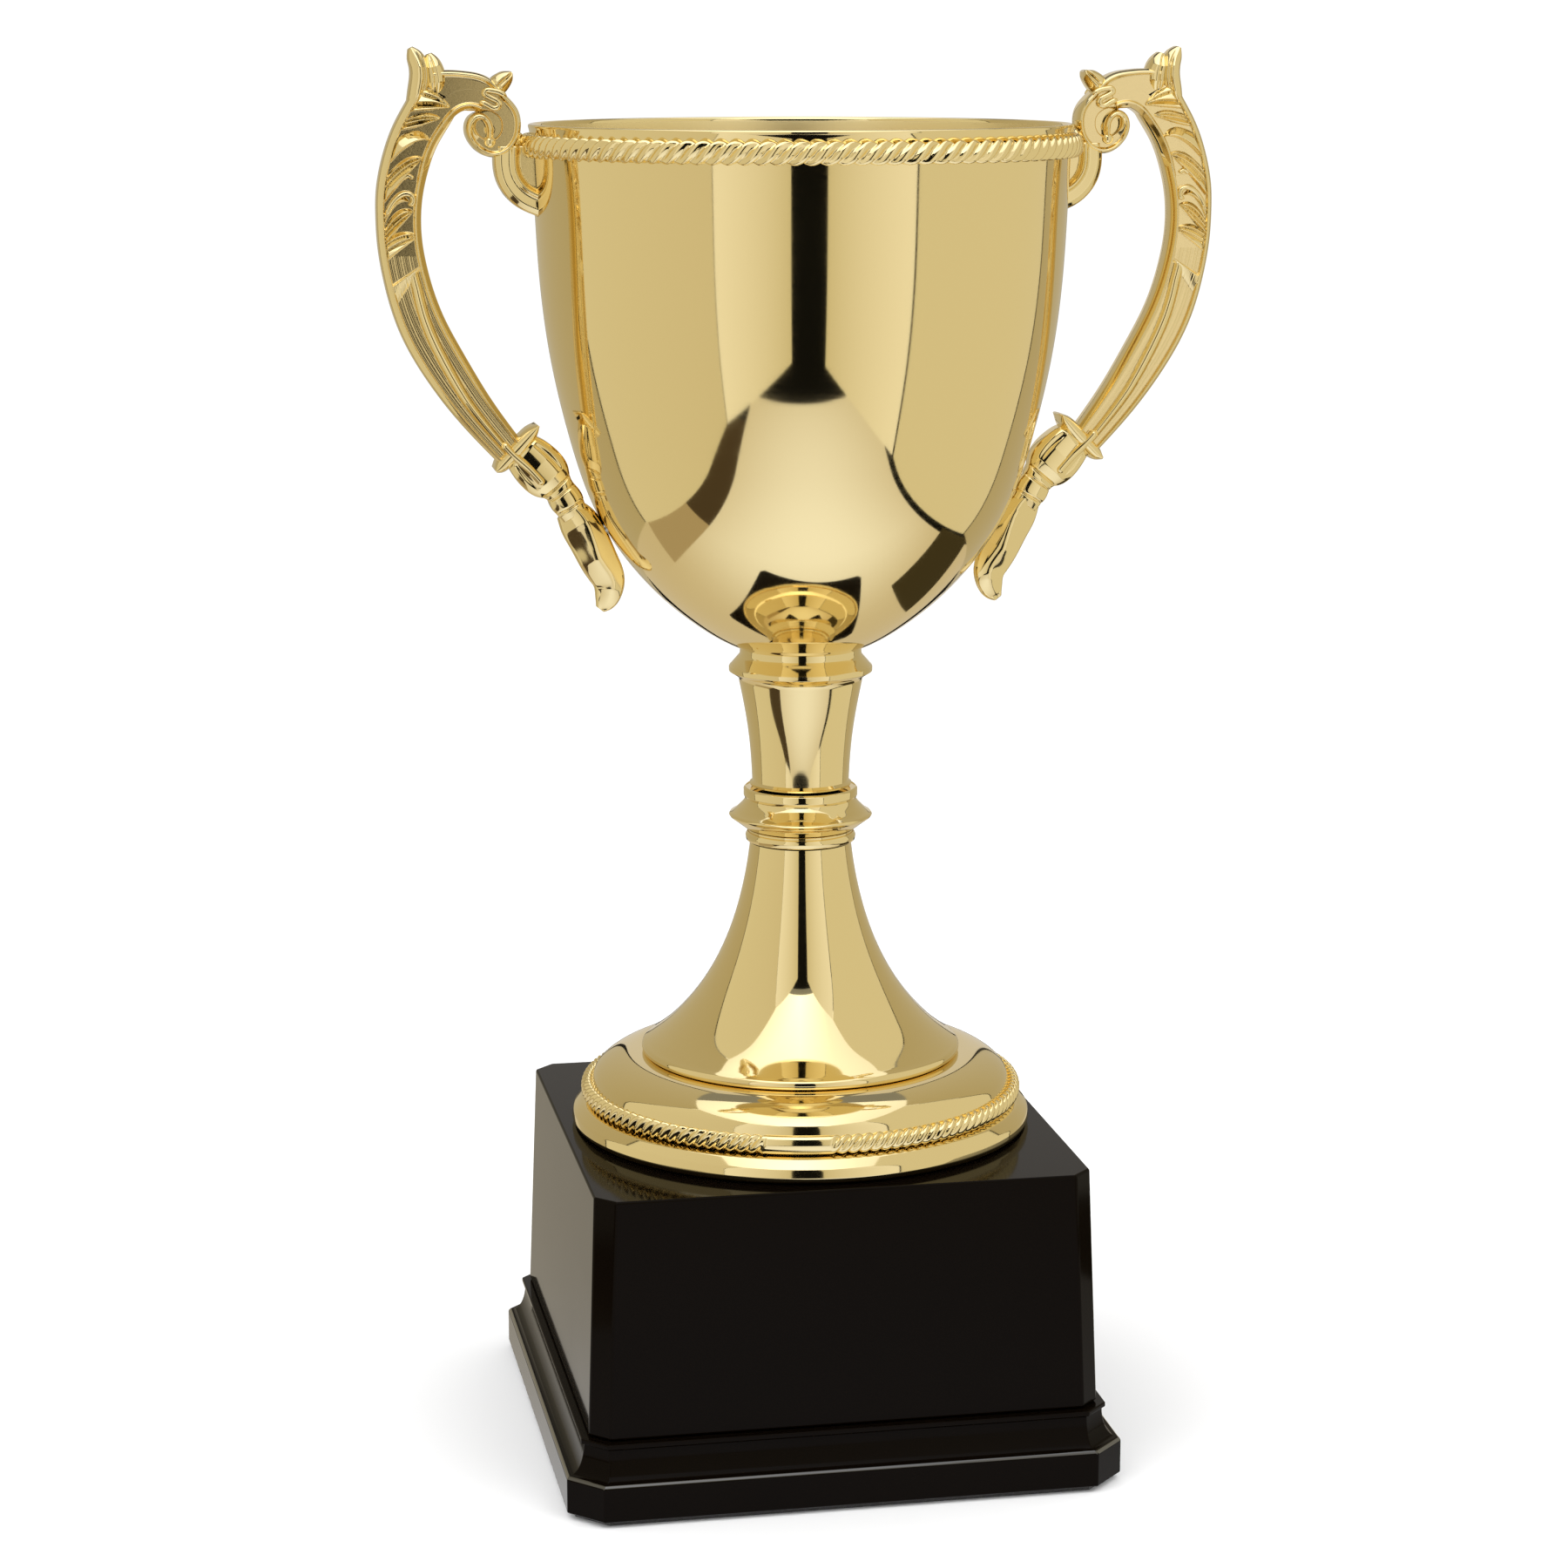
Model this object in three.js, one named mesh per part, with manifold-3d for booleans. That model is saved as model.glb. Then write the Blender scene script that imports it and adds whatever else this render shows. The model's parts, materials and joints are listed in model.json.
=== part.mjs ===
// A two-handled cup trophy on a square black base. Millimetres, +Z up.
// X runs through the two handles, the front faces -Y, and the origin is the middle of the underside.
// Heights inside the stack are measured from the underside of the plinth, FOOTING above the ground.
import * as THREE from 'three';
import { mergeVertices } from 'three/addons/utils/BufferGeometryUtils.js';
import Module from 'manifold-3d';

const wasm = await Module();
wasm.setup();

// ---- driving dimensions ----
const GAP = 0.3;
const FELT_THICK = 1.2;
const FOOTING = FELT_THICK + GAP;
const TURNS = 36;
const FINE_TURNS = 16;

const PLINTH_HALF = 65;
const PLINTH_CUT = 7.5;
const SLAB_HEIGHT = 8.6;
const BEAD_HALF = 61;
const BEAD_LOW = 15.5;
const PLINTH_TOP = 18.2;
const PLINTH_OPENING = 52;
const REBATE_HALF = 62;
const REBATE_DEPTH = 2.3;

const BLOCK_LOW = PLINTH_TOP + GAP;
const BLOCK_TOP = 73;
const BLOCK_HALF_LOW = 59.6;
const BLOCK_HALF_TOP = 57.6;
const BLOCK_CUT = 4.4;
const BLOCK_WALL = 3;
const BLOCK_WEB = 3.5;

const COVER_THICK = 2;
const BALLAST_HALF = 40;
const BALLAST_THICK = 10;
const COVER_SCREW_OUT = 57;

const ROD_R = 3;
const ROD_HOLE_R = ROD_R + 0.4;
const ROD_LOW = 60;
const ROD_TOP = 197;
const NUT_ACROSS_FLATS = 10;
const NUT_THICK = 5;
const CAP_NUT_THICK = 6;

const BOWL_WALL = 1.2;
const BOWL_FLOOR = 187.2;
const BOWL_FLOOR_R = 12.8;
const LIP_TOP = 308.8;
const LIP_R = 62.2;
const FOOT_WALL = 1.5;

const HANDLE_DEPTH = 8;
const HANDLE_WEB = 6.2;
const SCREW_R = 1.5;
const SCREW_HOLE_R = 1.9;
const SCREW_HEAD_R = 2.8;
const SCREW_HEAD_THICK = 2;
const WASHER_THICK = 0.8;
const WASHER_FACE = -2.3;
const UPPER_SCREW_Z = 297;

// ---- materials ----
function finish(color, roughness, metalness) {
  return new THREE.MeshStandardMaterial({ color, roughness, metalness });
}

const goldPlate = () => finish(0xd6c083, 0.08, 1);
const goldCasting = () => finish(0xd0b878, 0.16, 1);
const glossBlack = () => finish(0x14110d, 0.12, 0);
const zincSteel = () => finish(0xa9adb0, 0.35, 1);
const castIron = () => finish(0x3c3d3f, 0.8, 1);
const blackBoard = () => finish(0x1d1a17, 0.85, 0);
const blackFelt = () => finish(0x121212, 1, 0);

// ---- solids ----
function toSolid(geometry) {
  const bare = geometry.clone();
  bare.deleteAttribute('normal');
  bare.deleteAttribute('uv');
  const welded = mergeVertices(bare, 1e-4);
  const vertProperties = new Float32Array(welded.attributes.position.array);
  const triVerts = new Uint32Array(welded.index.array);
  return new wasm.Manifold(new wasm.Mesh({ numProp: 3, vertProperties, triVerts }));
}

function toGeometry(solid) {
  const mesh = solid.getMesh();
  const geometry = new THREE.BufferGeometry();
  geometry.setAttribute('position', new THREE.BufferAttribute(mesh.vertProperties, 3));
  geometry.setIndex(new THREE.BufferAttribute(mesh.triVerts, 1));
  return geometry;
}

// A ring or solid of revolution from a closed [r, z] outline that runs anticlockwise.
function turned(outline, segments = TURNS) {
  const points = [...outline, outline[0]].map(([r, z]) => new THREE.Vector2(r, z));
  return new THREE.LatheGeometry(points, segments).rotateX(Math.PI / 2);
}

function disc(radius, low, high, hole, segments = FINE_TURNS) {
  return turned([[hole, low], [radius, low], [radius, high], [hole, high]], segments);
}

function rod(radius, low, high, segments = FINE_TURNS) {
  const geometry = new THREE.CylinderGeometry(radius, radius, high - low, segments);
  return geometry.rotateX(Math.PI / 2).translate(0, 0, (low + high) / 2);
}

// Points moved sideways to the left of a line's direction.
function offsetLine(line, distance) {
  return line.map(([r, z], i) => {
    const before = line[Math.max(i - 1, 0)];
    const after = line[Math.min(i + 1, line.length - 1)];
    const dr = after[0] - before[0];
    const dz = after[1] - before[1];
    const length = Math.hypot(dr, dz);
    return [r - (dz / length) * distance, z + (dr / length) * distance];
  });
}

// A thin wall that follows a line up its outer face.
function spunShell(line, wall, segments = TURNS) {
  return turned([...line, ...offsetLine(line, wall).reverse()], segments);
}

function smoothLine(points, count) {
  const curve = new THREE.SplineCurve(points.map(([r, z]) => new THREE.Vector2(r, z)));
  return curve.getPoints(count).map((p) => [p.x, p.y]);
}

// A stack of square sections with their corners cut off, each one [half width, corner cut, z].
function cutSquareStack(sections) {
  const corners = sections.flatMap(([half, cut, z]) => {
    const short = half - cut;
    const ring = [[half, short], [short, half], [-short, half], [-half, short],
      [-half, -short], [-short, -half], [short, -half], [half, -short]];
    return ring.flatMap(([x, y]) => [x, y, z]);
  });
  const sides = 8;
  const faces = [];
  for (let level = 0; level < sections.length - 1; level += 1) {
    for (let side = 0; side < sides; side += 1) {
      const a = level * sides + side;
      const b = level * sides + ((side + 1) % sides);
      faces.push(a, b, b + sides, a, b + sides, a + sides);
    }
  }
  const top = (sections.length - 1) * sides;
  for (let side = 1; side < sides - 1; side += 1) {
    faces.push(0, side + 1, side);
    faces.push(top, top + side, top + side + 1);
  }
  const geometry = new THREE.BufferGeometry();
  geometry.setAttribute('position', new THREE.Float32BufferAttribute(corners, 3));
  geometry.setIndex(faces);
  return geometry;
}

function hexNut(low, high) {
  const radius = NUT_ACROSS_FLATS / 2 / Math.cos(Math.PI / 6);
  const body = toSolid(rod(radius, low, high, 6));
  return toGeometry(body.subtract(toSolid(rod(ROD_R + GAP, low - 1, high + 1))));
}

// ---- the base ----
function feltPad() {
  return cutSquareStack([[63, 7, 0], [63, 7, FELT_THICK]]);
}

// Outline of a countersunk screw, or of the clearance around it.
function coverScrew(clearance, tip) {
  const head = 2.8 + clearance;
  const shank = 1.4 + clearance;
  return [[0, 0.1 - clearance], [head, 0.1 - clearance], [shank, 1.6], [shank, tip - 1], [0.4, tip], [0, tip]];
}

function aroundSides(make) {
  return [0, 1, 2, 3].map((quarter) => {
    const angle = (quarter * Math.PI) / 2;
    return make(COVER_SCREW_OUT * Math.cos(angle), COVER_SCREW_OUT * Math.sin(angle));
  });
}

function withScrewHoles(solid) {
  const holes = aroundSides((x, y) => toSolid(turned(coverScrew(GAP, 10), 12).translate(x, y, 0)));
  return holes.reduce((body, hole) => body.subtract(hole), solid);
}

function baseCover() {
  return toGeometry(withScrewHoles(toSolid(cutSquareStack([[61.7, 7, 0], [61.7, 7, COVER_THICK]]))));
}

function ballast() {
  const low = COVER_THICK + GAP;
  return cutSquareStack([[BALLAST_HALF, 6, low], [BALLAST_HALF, 6, low + BALLAST_THICK]]);
}

function plinthSections() {
  const edge = 0.5;
  const sections = [[PLINTH_HALF, PLINTH_CUT, 0], [PLINTH_HALF - 0.3, PLINTH_CUT, SLAB_HEIGHT - edge]];
  const reach = PLINTH_HALF - edge - BEAD_HALF;
  const drop = BEAD_LOW - SLAB_HEIGHT;
  const steps = 5;
  for (let i = steps; i >= 0; i -= 1) {
    const turn = (i / steps) * (Math.PI / 2);
    const half = PLINTH_HALF - edge - reach * Math.cos(turn);
    const cut = 5.2 + ((PLINTH_CUT - 5.2) * (half - BEAD_HALF)) / reach;
    sections.push([half, cut, BEAD_LOW - drop * Math.sin(turn)]);
  }
  sections.push([BEAD_HALF, 5.2, PLINTH_TOP - 0.8], [BEAD_HALF - 0.8, 5, PLINTH_TOP]);
  return sections;
}

function basePlinth() {
  const outer = toSolid(cutSquareStack(plinthSections()));
  const opening = toSolid(cutSquareStack([[PLINTH_OPENING, 5, -1], [PLINTH_OPENING, 5, PLINTH_TOP + 1]]));
  const rebate = toSolid(cutSquareStack([[REBATE_HALF, 7, -1], [REBATE_HALF, 7, REBATE_DEPTH]]));
  return toGeometry(withScrewHoles(outer.subtract(opening).subtract(rebate)));
}

function baseBlock() {
  const outer = toSolid(cutSquareStack([
    [BLOCK_HALF_LOW, BLOCK_CUT, BLOCK_LOW],
    [BLOCK_HALF_TOP, BLOCK_CUT, BLOCK_TOP - 0.4],
    [BLOCK_HALF_TOP - 0.4, BLOCK_CUT, BLOCK_TOP],
  ]));
  const hollow = toSolid(cutSquareStack([
    [BLOCK_HALF_LOW - BLOCK_WALL, BLOCK_CUT, BLOCK_LOW - 1],
    [BLOCK_HALF_TOP - BLOCK_WALL, BLOCK_CUT, BLOCK_TOP - BLOCK_WEB],
  ]));
  const hole = toSolid(rod(ROD_HOLE_R, BLOCK_TOP - 10, BLOCK_TOP + 1));
  return toGeometry(outer.subtract(hollow).subtract(hole));
}

// ---- foot and stem ----
function footFlange() {
  const line = [[54.2, BLOCK_TOP + GAP], [54.9, 75.2], [54.2, 77.2], [52, 79], [49.9, 79.5],
    [49.9, 83.9], [48.5, 86.4], [45.4, 88.6], [40, 90.4], [33.5, 90.4]];
  return spunShell(line, FOOT_WALL);
}

// A bead ring with a rounded section, centred on [r, z].
function beadRing(r, z, halfThick, halfTall) {
  const sides = 6;
  const outline = Array.from({ length: sides }, (_, i) => {
    const turn = ((i + 0.5) / sides) * 2 * Math.PI;
    return [r + halfThick * Math.cos(turn), z + halfTall * Math.sin(turn)];
  });
  return turned(outline);
}

function footBell() {
  const flare = smoothLine([[37.2, 92.8], [32.8, 96], [28.7, 100], [23.9, 106], [19.3, 114], [16.1, 122],
    [13.9, 130], [12.1, 138], [11.9, 141.3]], 9);
  return spunShell([[37.3, 90.7], [37.7, 91.8], ...flare], FOOT_WALL);
}

function stemKnop() {
  return turned([[ROD_HOLE_R, 141.6], [12.6, 141.6], [13.4, 142.4], [13.5, 144.2], [16.9, 147.4], [16.9, 148.5],
    [13.3, 151.5], [13.2, 153.8], [12.5, 154.8], [ROD_HOLE_R, 154.8]]);
}

function stemCollar() {
  const waist = smoothLine([[12, 155.1], [11.6, 157], [12.1, 160.5], [13.3, 168], [14.7, 174], [16.4, 180.6]], 5);
  return turned([[ROD_HOLE_R, 155.1], ...waist, [17.1, 182.2], [17.1, 183], [15.4, 186.4], [15.3, 187.5],
    [15, 187.6], [13, 186.8], [ROD_HOLE_R, 186.8]]);
}

// ---- the cup ----
function bowlLine() {
  const side = smoothLine([[BOWL_FLOOR_R, BOWL_FLOOR], [18.8, 190], [25.1, 194], [32.5, 200], [39.9, 208],
    [47.6, 220], [53.3, 236], [57.9, 256], [60.3, 276], [61.3, 296], [61.6, 303]], 11);
  return [...side, [61.8, 306.8], [LIP_R, LIP_TOP]];
}

function cupBowl() {
  const line = [[ROD_HOLE_R, BOWL_FLOOR], ...bowlLine()];
  const holes = [-1, 1].flatMap((side) => [upperHole(side), lowerHole(side)]);
  return toGeometry(holes.reduce((cup, hole) => cup.subtract(hole), toSolid(spunShell(line, BOWL_WALL))));
}

function capNut() {
  const low = BOWL_FLOOR + BOWL_WALL + 1.6;
  const radius = NUT_ACROSS_FLATS / 2 / Math.cos(Math.PI / 6);
  const hex = toSolid(rod(radius, low, low + CAP_NUT_THICK, 6));
  const dome = toSolid(new THREE.SphereGeometry(4.6, 16, 12).translate(0, 0, low + CAP_NUT_THICK - 0.6));
  const bore = toSolid(rod(ROD_R + GAP, low - 1, ROD_TOP + GAP));
  return toGeometry(hex.add(dome).subtract(bore));
}

// ---- the handles, drawn on the +X side and mirrored by side = -1 ----
function plate(shape, depth) {
  const geometry = new THREE.ExtrudeGeometry(shape, { depth, bevelEnabled: false, curveSegments: 8 });
  return toSolid(geometry.rotateX(Math.PI / 2).translate(0, depth / 2, 0));
}

// A band of changing width along a smooth line; each station is [x, z, width].
function ribbon(side, stations, depth, shift = 0, share = 1) {
  const spine = new THREE.CatmullRomCurve3(
    stations.map(([x, z, width]) => new THREE.Vector3(side * x, z, width / 2)), false, 'centripetal');
  const steps = (stations.length - 1) * 2;
  const left = [];
  const right = [];
  for (let i = 0; i <= steps; i += 1) {
    const p = spine.getPoint(i / steps);
    const t = spine.getTangent(i / steps);
    const across = new THREE.Vector2(-t.y, t.x).normalize();
    const middle = new THREE.Vector2(p.x, p.y).addScaledVector(across, shift * p.z);
    left.push(middle.clone().addScaledVector(across, share * p.z));
    right.push(middle.clone().addScaledVector(across, -share * p.z));
  }
  return plate(new THREE.Shape([...left, ...right.reverse()]), depth);
}

const ARM = [[84.2, 316.5, 9], [88.4, 305, 10.7], [91.8, 293.5, 10.8], [92, 283.5, 10.7], [90.3, 273.8, 10.8],
  [87, 264, 10.8], [82.4, 255.2, 10.5], [76.3, 245.6, 9.1], [67, 234.1, 7.2]];
const SCROLL = [[83, 317.6, 7.4], [78.5, 317.8, 7.8], [74, 317, 7.4], [69.6, 315.4, 6.4], [66.8, 312.2, 5.6],
  [66.3, 308.4, 4.9], [67.9, 305, 4.5], [71.5, 303.7, 3.8], [74.7, 305.7, 3.6], [74.9, 308.8, 3.1],
  [72.8, 310, 2.6], [71.2, 308.4, 2]];
const OUTER_LEAF = [[88.3, 326.3, 1.6], [87.5, 323.6, 3.6], [87, 320, 4], [87.4, 315.5, 4.6]];
const INNER_LEAF = [[84.7, 325.2, 1.6], [83.4, 323, 3.8], [83.6, 319.5, 5], [84.5, 316, 6]];
const HORN = [[71.6, 318, 2.4], [69.2, 319, 4], [67.4, 319.8, 3.4], [66.7, 321, 1.8]];
const COLLAR = [[62.2, 240.8, 2.2], [64, 238.6, 3.4], [66.4, 236, 3.8], [69, 233.4, 3.4], [70.6, 231.8, 2.4]];
const BULB = [[66.2, 236.4, 8.4], [63.2, 233.4, 11], [60, 230, 11.6], [57.2, 226.8, 8.4], [55.6, 224.4, 6.6],
  [54.2, 221.8, 7.4], [52.4, 218.6, 9]];
const TAIL = [[53.4, 220.4, 8.4], [50, 214.6, 9.4], [47, 208.8, 9], [44.6, 204.4, 7.4], [44.6, 201.2, 4.8],
  [46, 199, 1.8]];

function lug(side) {
  const shape = new THREE.Shape();
  shape.moveTo(side * 58, 302.6);
  shape.lineTo(side * 70.2, 302.6);
  shape.bezierCurveTo(side * 70.6, 296, side * 67.6, 290.6, side * 58, 289.2);
  return plate(shape, 7);
}

function rimBead(side) {
  return toSolid(new THREE.SphereGeometry(2.3, 12, 8).translate(side * 65.6, 0, 305));
}

// The room that the bowl, its rope band and its lip take up, with a clearance all round.
function cupRoom() {
  const line = [...offsetLine(bowlLine(), -GAP).slice(0, -3), [61.9, 301], [64.3, 301.2], [64.3, LIP_TOP + 1]];
  return toSolid(turned([[0, BOWL_FLOOR - 1], ...line, [0, LIP_TOP + 1]]));
}

// Where the lower screw passes through the bowl, and how far its axis dips outwards.
const LOWER_SCREW = { r: 46, z: 217, dip: THREE.MathUtils.degToRad(31) };

// Turns a piece made along +Z from the bowl's outer face so that it points out of the bowl.
function outOfBowl(geometry, side, lower) {
  const r = lower ? LOWER_SCREW.r : 61.4;
  const z = lower ? LOWER_SCREW.z : UPPER_SCREW_Z;
  const dip = lower ? LOWER_SCREW.dip : 0;
  return geometry.rotateY(side * (Math.PI / 2 + dip)).translate(side * r, 0, z);
}

function upperHole(side) {
  return toSolid(outOfBowl(rod(SCREW_HOLE_R, -12, 5.6, 16), side, false));
}

function lowerHole(side) {
  return toSolid(outOfBowl(rod(SCREW_HOLE_R, -12, 5, 16), side, true));
}

function handleScrew(side, lower) {
  const length = lower ? 4.6 : 5.2;
  const seat = WASHER_FACE - WASHER_THICK - GAP;
  const top = seat - SCREW_HEAD_THICK;
  const outline = [[0, top], [SCREW_HEAD_R - 0.7, top], [SCREW_HEAD_R, top + 0.8], [SCREW_HEAD_R, seat],
    [SCREW_R, seat], [SCREW_R, length - 0.6], [SCREW_R - 0.6, length], [0, length]];
  return outOfBowl(turned(outline, FINE_TURNS), side, lower);
}

function handleWasher(side, lower) {
  const ring = disc(3.6, WASHER_FACE - WASHER_THICK, WASHER_FACE, SCREW_HOLE_R);
  return outOfBowl(ring, side, lower);
}

function handle(side) {
  const railShare = 0.17;
  const parts = [
    ribbon(side, ARM, HANDLE_WEB),
    ribbon(side, ARM, HANDLE_DEPTH, 1 - railShare, railShare),
    ribbon(side, ARM, HANDLE_DEPTH, railShare - 1, railShare),
    ribbon(side, ARM.slice(4), HANDLE_WEB + 1.2, 0, 0.2),
    ribbon(side, SCROLL, HANDLE_WEB + 0.6),
    ribbon(side, OUTER_LEAF, HANDLE_WEB - 0.8),
    ribbon(side, INNER_LEAF, HANDLE_WEB - 0.4),
    ribbon(side, HORN, HANDLE_WEB - 1.2),
    ribbon(side, COLLAR, HANDLE_DEPTH + 1),
    ribbon(side, BULB, HANDLE_DEPTH + 0.4),
    ribbon(side, TAIL, HANDLE_DEPTH - 0.4),
    lug(side),
    rimBead(side),
  ];
  const casting = parts.reduce((whole, part) => whole.add(part));
  const cutters = [cupRoom(), upperHole(side), lowerHole(side)];
  return toGeometry(cutters.reduce((body, cutter) => body.subtract(cutter), casting));
}

// ---- the assembly ----
function add(group, name, geometry, material) {
  const mesh = new THREE.Mesh(geometry, material);
  mesh.name = name;
  group.add(mesh);
}

function buildBase() {
  const base = new THREE.Group();
  add(base, 'base_cover', baseCover(), blackBoard());
  aroundSides((x, y) => turned(coverScrew(0, 9), 12).translate(x, y, 0)).forEach((screw, i) => {
    add(base, `cover_screw_${i + 1}`, screw, zincSteel());
  });
  add(base, 'ballast', ballast(), castIron());
  add(base, 'base_plinth', basePlinth(), glossBlack());
  add(base, 'base_block', baseBlock(), glossBlack());
  return base;
}

function buildStem() {
  const stem = new THREE.Group();
  const webUnder = BLOCK_TOP - BLOCK_WEB;
  add(stem, 'base_washer', disc(15, webUnder - GAP - 1.5, webUnder - GAP, ROD_HOLE_R), zincSteel());
  const nutTop = webUnder - 2 * GAP - 1.5;
  add(stem, 'base_nut', hexNut(nutTop - NUT_THICK, nutTop), zincSteel());
  add(stem, 'stem_rod', rod(ROD_R, ROD_LOW, ROD_TOP), zincSteel());
  add(stem, 'foot_flange', footFlange(), goldPlate());
  add(stem, 'foot_rope_band', beadRing(51.3, 81.7, 1.15, 2.1), goldPlate());
  add(stem, 'foot_bell', footBell(), goldPlate());
  add(stem, 'stem_knop', stemKnop(), goldPlate());
  add(stem, 'stem_collar', stemCollar(), goldPlate());
  return stem;
}

function buildCup() {
  const cup = new THREE.Group();
  const floor = BOWL_FLOOR + BOWL_WALL;
  add(cup, 'cup_bowl', cupBowl(), goldPlate());
  add(cup, 'rim_rope_band', beadRing(63.1, 304.2, 1.15, 2.4), goldPlate());
  add(cup, 'rod_cap_washer', disc(9, floor + GAP, floor + GAP + 1, ROD_HOLE_R), goldPlate());
  add(cup, 'rod_cap_nut', capNut(), goldPlate());
  [['left', -1], ['right', 1]].forEach(([name, side]) => {
    add(cup, `handle_${name}`, handle(side), goldCasting());
    [['upper', false], ['lower', true]].forEach(([place, lower]) => {
      add(cup, `handle_screw_${name}_${place}`, handleScrew(side, lower), zincSteel());
      add(cup, `handle_washer_${name}_${place}`, handleWasher(side, lower), zincSteel());
    });
  });
  return cup;
}

function buildTrophy() {
  const trophy = new THREE.Group();
  const stack = new THREE.Group();
  stack.position.z = FOOTING;
  stack.add(buildBase(), buildStem(), buildCup());
  trophy.add(stack);
  add(trophy, 'felt_pad', feltPad(), blackFelt());
  return trophy;
}

export default buildTrophy();
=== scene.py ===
"""Gold cup trophy on a black base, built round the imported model, which is the fixed frame.

Lengths in the tables are millimetres, and heights are measured from the underside of the plinth, as in
the part's own source. place() turns them into metres in the model's frame.
"""
import json
import math

import bpy
import numpy as np
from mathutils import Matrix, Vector


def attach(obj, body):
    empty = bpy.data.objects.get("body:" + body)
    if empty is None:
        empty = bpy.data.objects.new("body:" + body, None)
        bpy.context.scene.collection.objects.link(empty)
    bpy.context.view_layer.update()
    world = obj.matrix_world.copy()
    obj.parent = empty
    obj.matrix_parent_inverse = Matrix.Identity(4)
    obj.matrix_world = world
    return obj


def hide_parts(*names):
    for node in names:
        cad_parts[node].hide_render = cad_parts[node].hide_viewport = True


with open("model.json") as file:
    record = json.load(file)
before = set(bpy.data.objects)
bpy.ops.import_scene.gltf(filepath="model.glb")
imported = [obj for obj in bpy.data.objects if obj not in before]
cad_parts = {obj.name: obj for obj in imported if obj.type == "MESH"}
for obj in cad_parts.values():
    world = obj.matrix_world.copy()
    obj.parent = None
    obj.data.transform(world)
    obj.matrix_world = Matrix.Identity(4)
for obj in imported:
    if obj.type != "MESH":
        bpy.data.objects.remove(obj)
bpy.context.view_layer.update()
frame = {"nodes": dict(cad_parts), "record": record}

MM = 0.001
FOOTING = 1.5          # felt and its gap, under the plinth
BODY = "root"

# ---------------------------------------------------------------- camera

CAMERA_AZIMUTH = math.radians(-10.8)
CAMERA_PITCH = math.radians(11.62)
CAMERA_DISTANCE = 854.0     # from the trophy's axis, measured level
CAMERA_HEIGHT = 332.0
CAMERA_SHIFT = -3.9         # sideways step, to centre the trophy as framed
LENS_MM = 84.53
SENSOR_MM = 36.0
CLIP_NEAR, CLIP_FAR = 0.01, 50.0     # metres

RIGHT = np.array([math.cos(CAMERA_AZIMUTH), math.sin(CAMERA_AZIMUTH), 0.0])
TOWARD = np.array([math.sin(CAMERA_AZIMUTH), -math.cos(CAMERA_AZIMUTH), 0.0])
UP = np.array([0.0, 0.0, 1.0])


def studio(right, toward, height):
    """A point of the studio, in metres, from its place as seen from the camera's side, in millimetres."""
    return (RIGHT * right + TOWARD * toward + UP * height) * MM


def add_camera():
    data = bpy.data.cameras.new("camera")
    data.sensor_width = SENSOR_MM
    data.lens = LENS_MM
    data.clip_start = CLIP_NEAR
    data.clip_end = CLIP_FAR
    camera = bpy.data.objects.new("camera", data)
    camera.location = Vector(studio(CAMERA_SHIFT, CAMERA_DISTANCE, CAMERA_HEIGHT))
    camera.rotation_euler = (math.pi / 2 - CAMERA_PITCH, 0.0, CAMERA_AZIMUTH)
    bpy.context.scene.collection.objects.link(camera)
    bpy.context.scene.camera = camera


add_camera()

# ---------------------------------------------------------------- mesh helpers


def place(points):
    """Millimetres with heights over the plinth's underside, to metres in the model's frame."""
    out = np.asarray(points, float) * MM
    out[:, 2] += FOOTING * MM
    return out


def add_mesh(name, points, faces, material, sharp=None):
    mesh = bpy.data.meshes.new(name)
    mesh.from_pydata(np.asarray(points, float).tolist(), [], [tuple(map(int, f)) for f in faces])
    mesh.update()
    for polygon in mesh.polygons:
        polygon.use_smooth = True
    if sharp is not None:
        mesh.set_sharp_from_angle(angle=math.radians(sharp))
    mesh.materials.append(material)
    piece = bpy.data.objects.new(name, mesh)
    bpy.context.scene.collection.objects.link(piece)
    return piece


def grid_faces(rows, columns, rows_close, columns_close, start=0):
    """Quads over a grid of points numbered row by row."""
    faces = []
    for i in range(rows if rows_close else rows - 1):
        for j in range(columns if columns_close else columns - 1):
            a, b = i, (i + 1) % rows
            c, d = j, (j + 1) % columns
            faces.append([start + a * columns + c, start + a * columns + d,
                          start + b * columns + d, start + b * columns + c])
    return faces


def spline(points, count):
    """count points on the natural cubic spline through the given points, spaced by chord length."""
    p = np.asarray(points, float)
    knots = np.r_[0.0, np.cumsum(np.linalg.norm(np.diff(p[:, :2], axis=0), axis=1))]
    n = len(p)
    h = np.diff(knots)
    matrix = np.eye(n)
    target = np.zeros_like(p)
    for i in range(1, n - 1):
        matrix[i, i - 1:i + 2] = h[i - 1], 2 * (h[i - 1] + h[i]), h[i]
        target[i] = 6 * ((p[i + 1] - p[i]) / h[i] - (p[i] - p[i - 1]) / h[i - 1])
    bend = np.linalg.solve(matrix, target)
    s = np.linspace(0.0, knots[-1], count)
    k = np.clip(np.searchsorted(knots, s, side="right") - 1, 0, n - 2)
    hk = h[k][:, None]
    a = (knots[k + 1] - s)[:, None] / hk
    b = (s - knots[k])[:, None] / hk
    return a * p[k] + b * p[k + 1] + ((a ** 3 - a) * bend[k] + (b ** 3 - b) * bend[k + 1]) * hk ** 2 / 6


TINY = 1e-9
NEARLY_STRAIGHT = math.radians(88)     # half the angle at a corner too flat to fillet
FILLET_SHARE = 0.48                    # most of a side that one fillet may take


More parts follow.
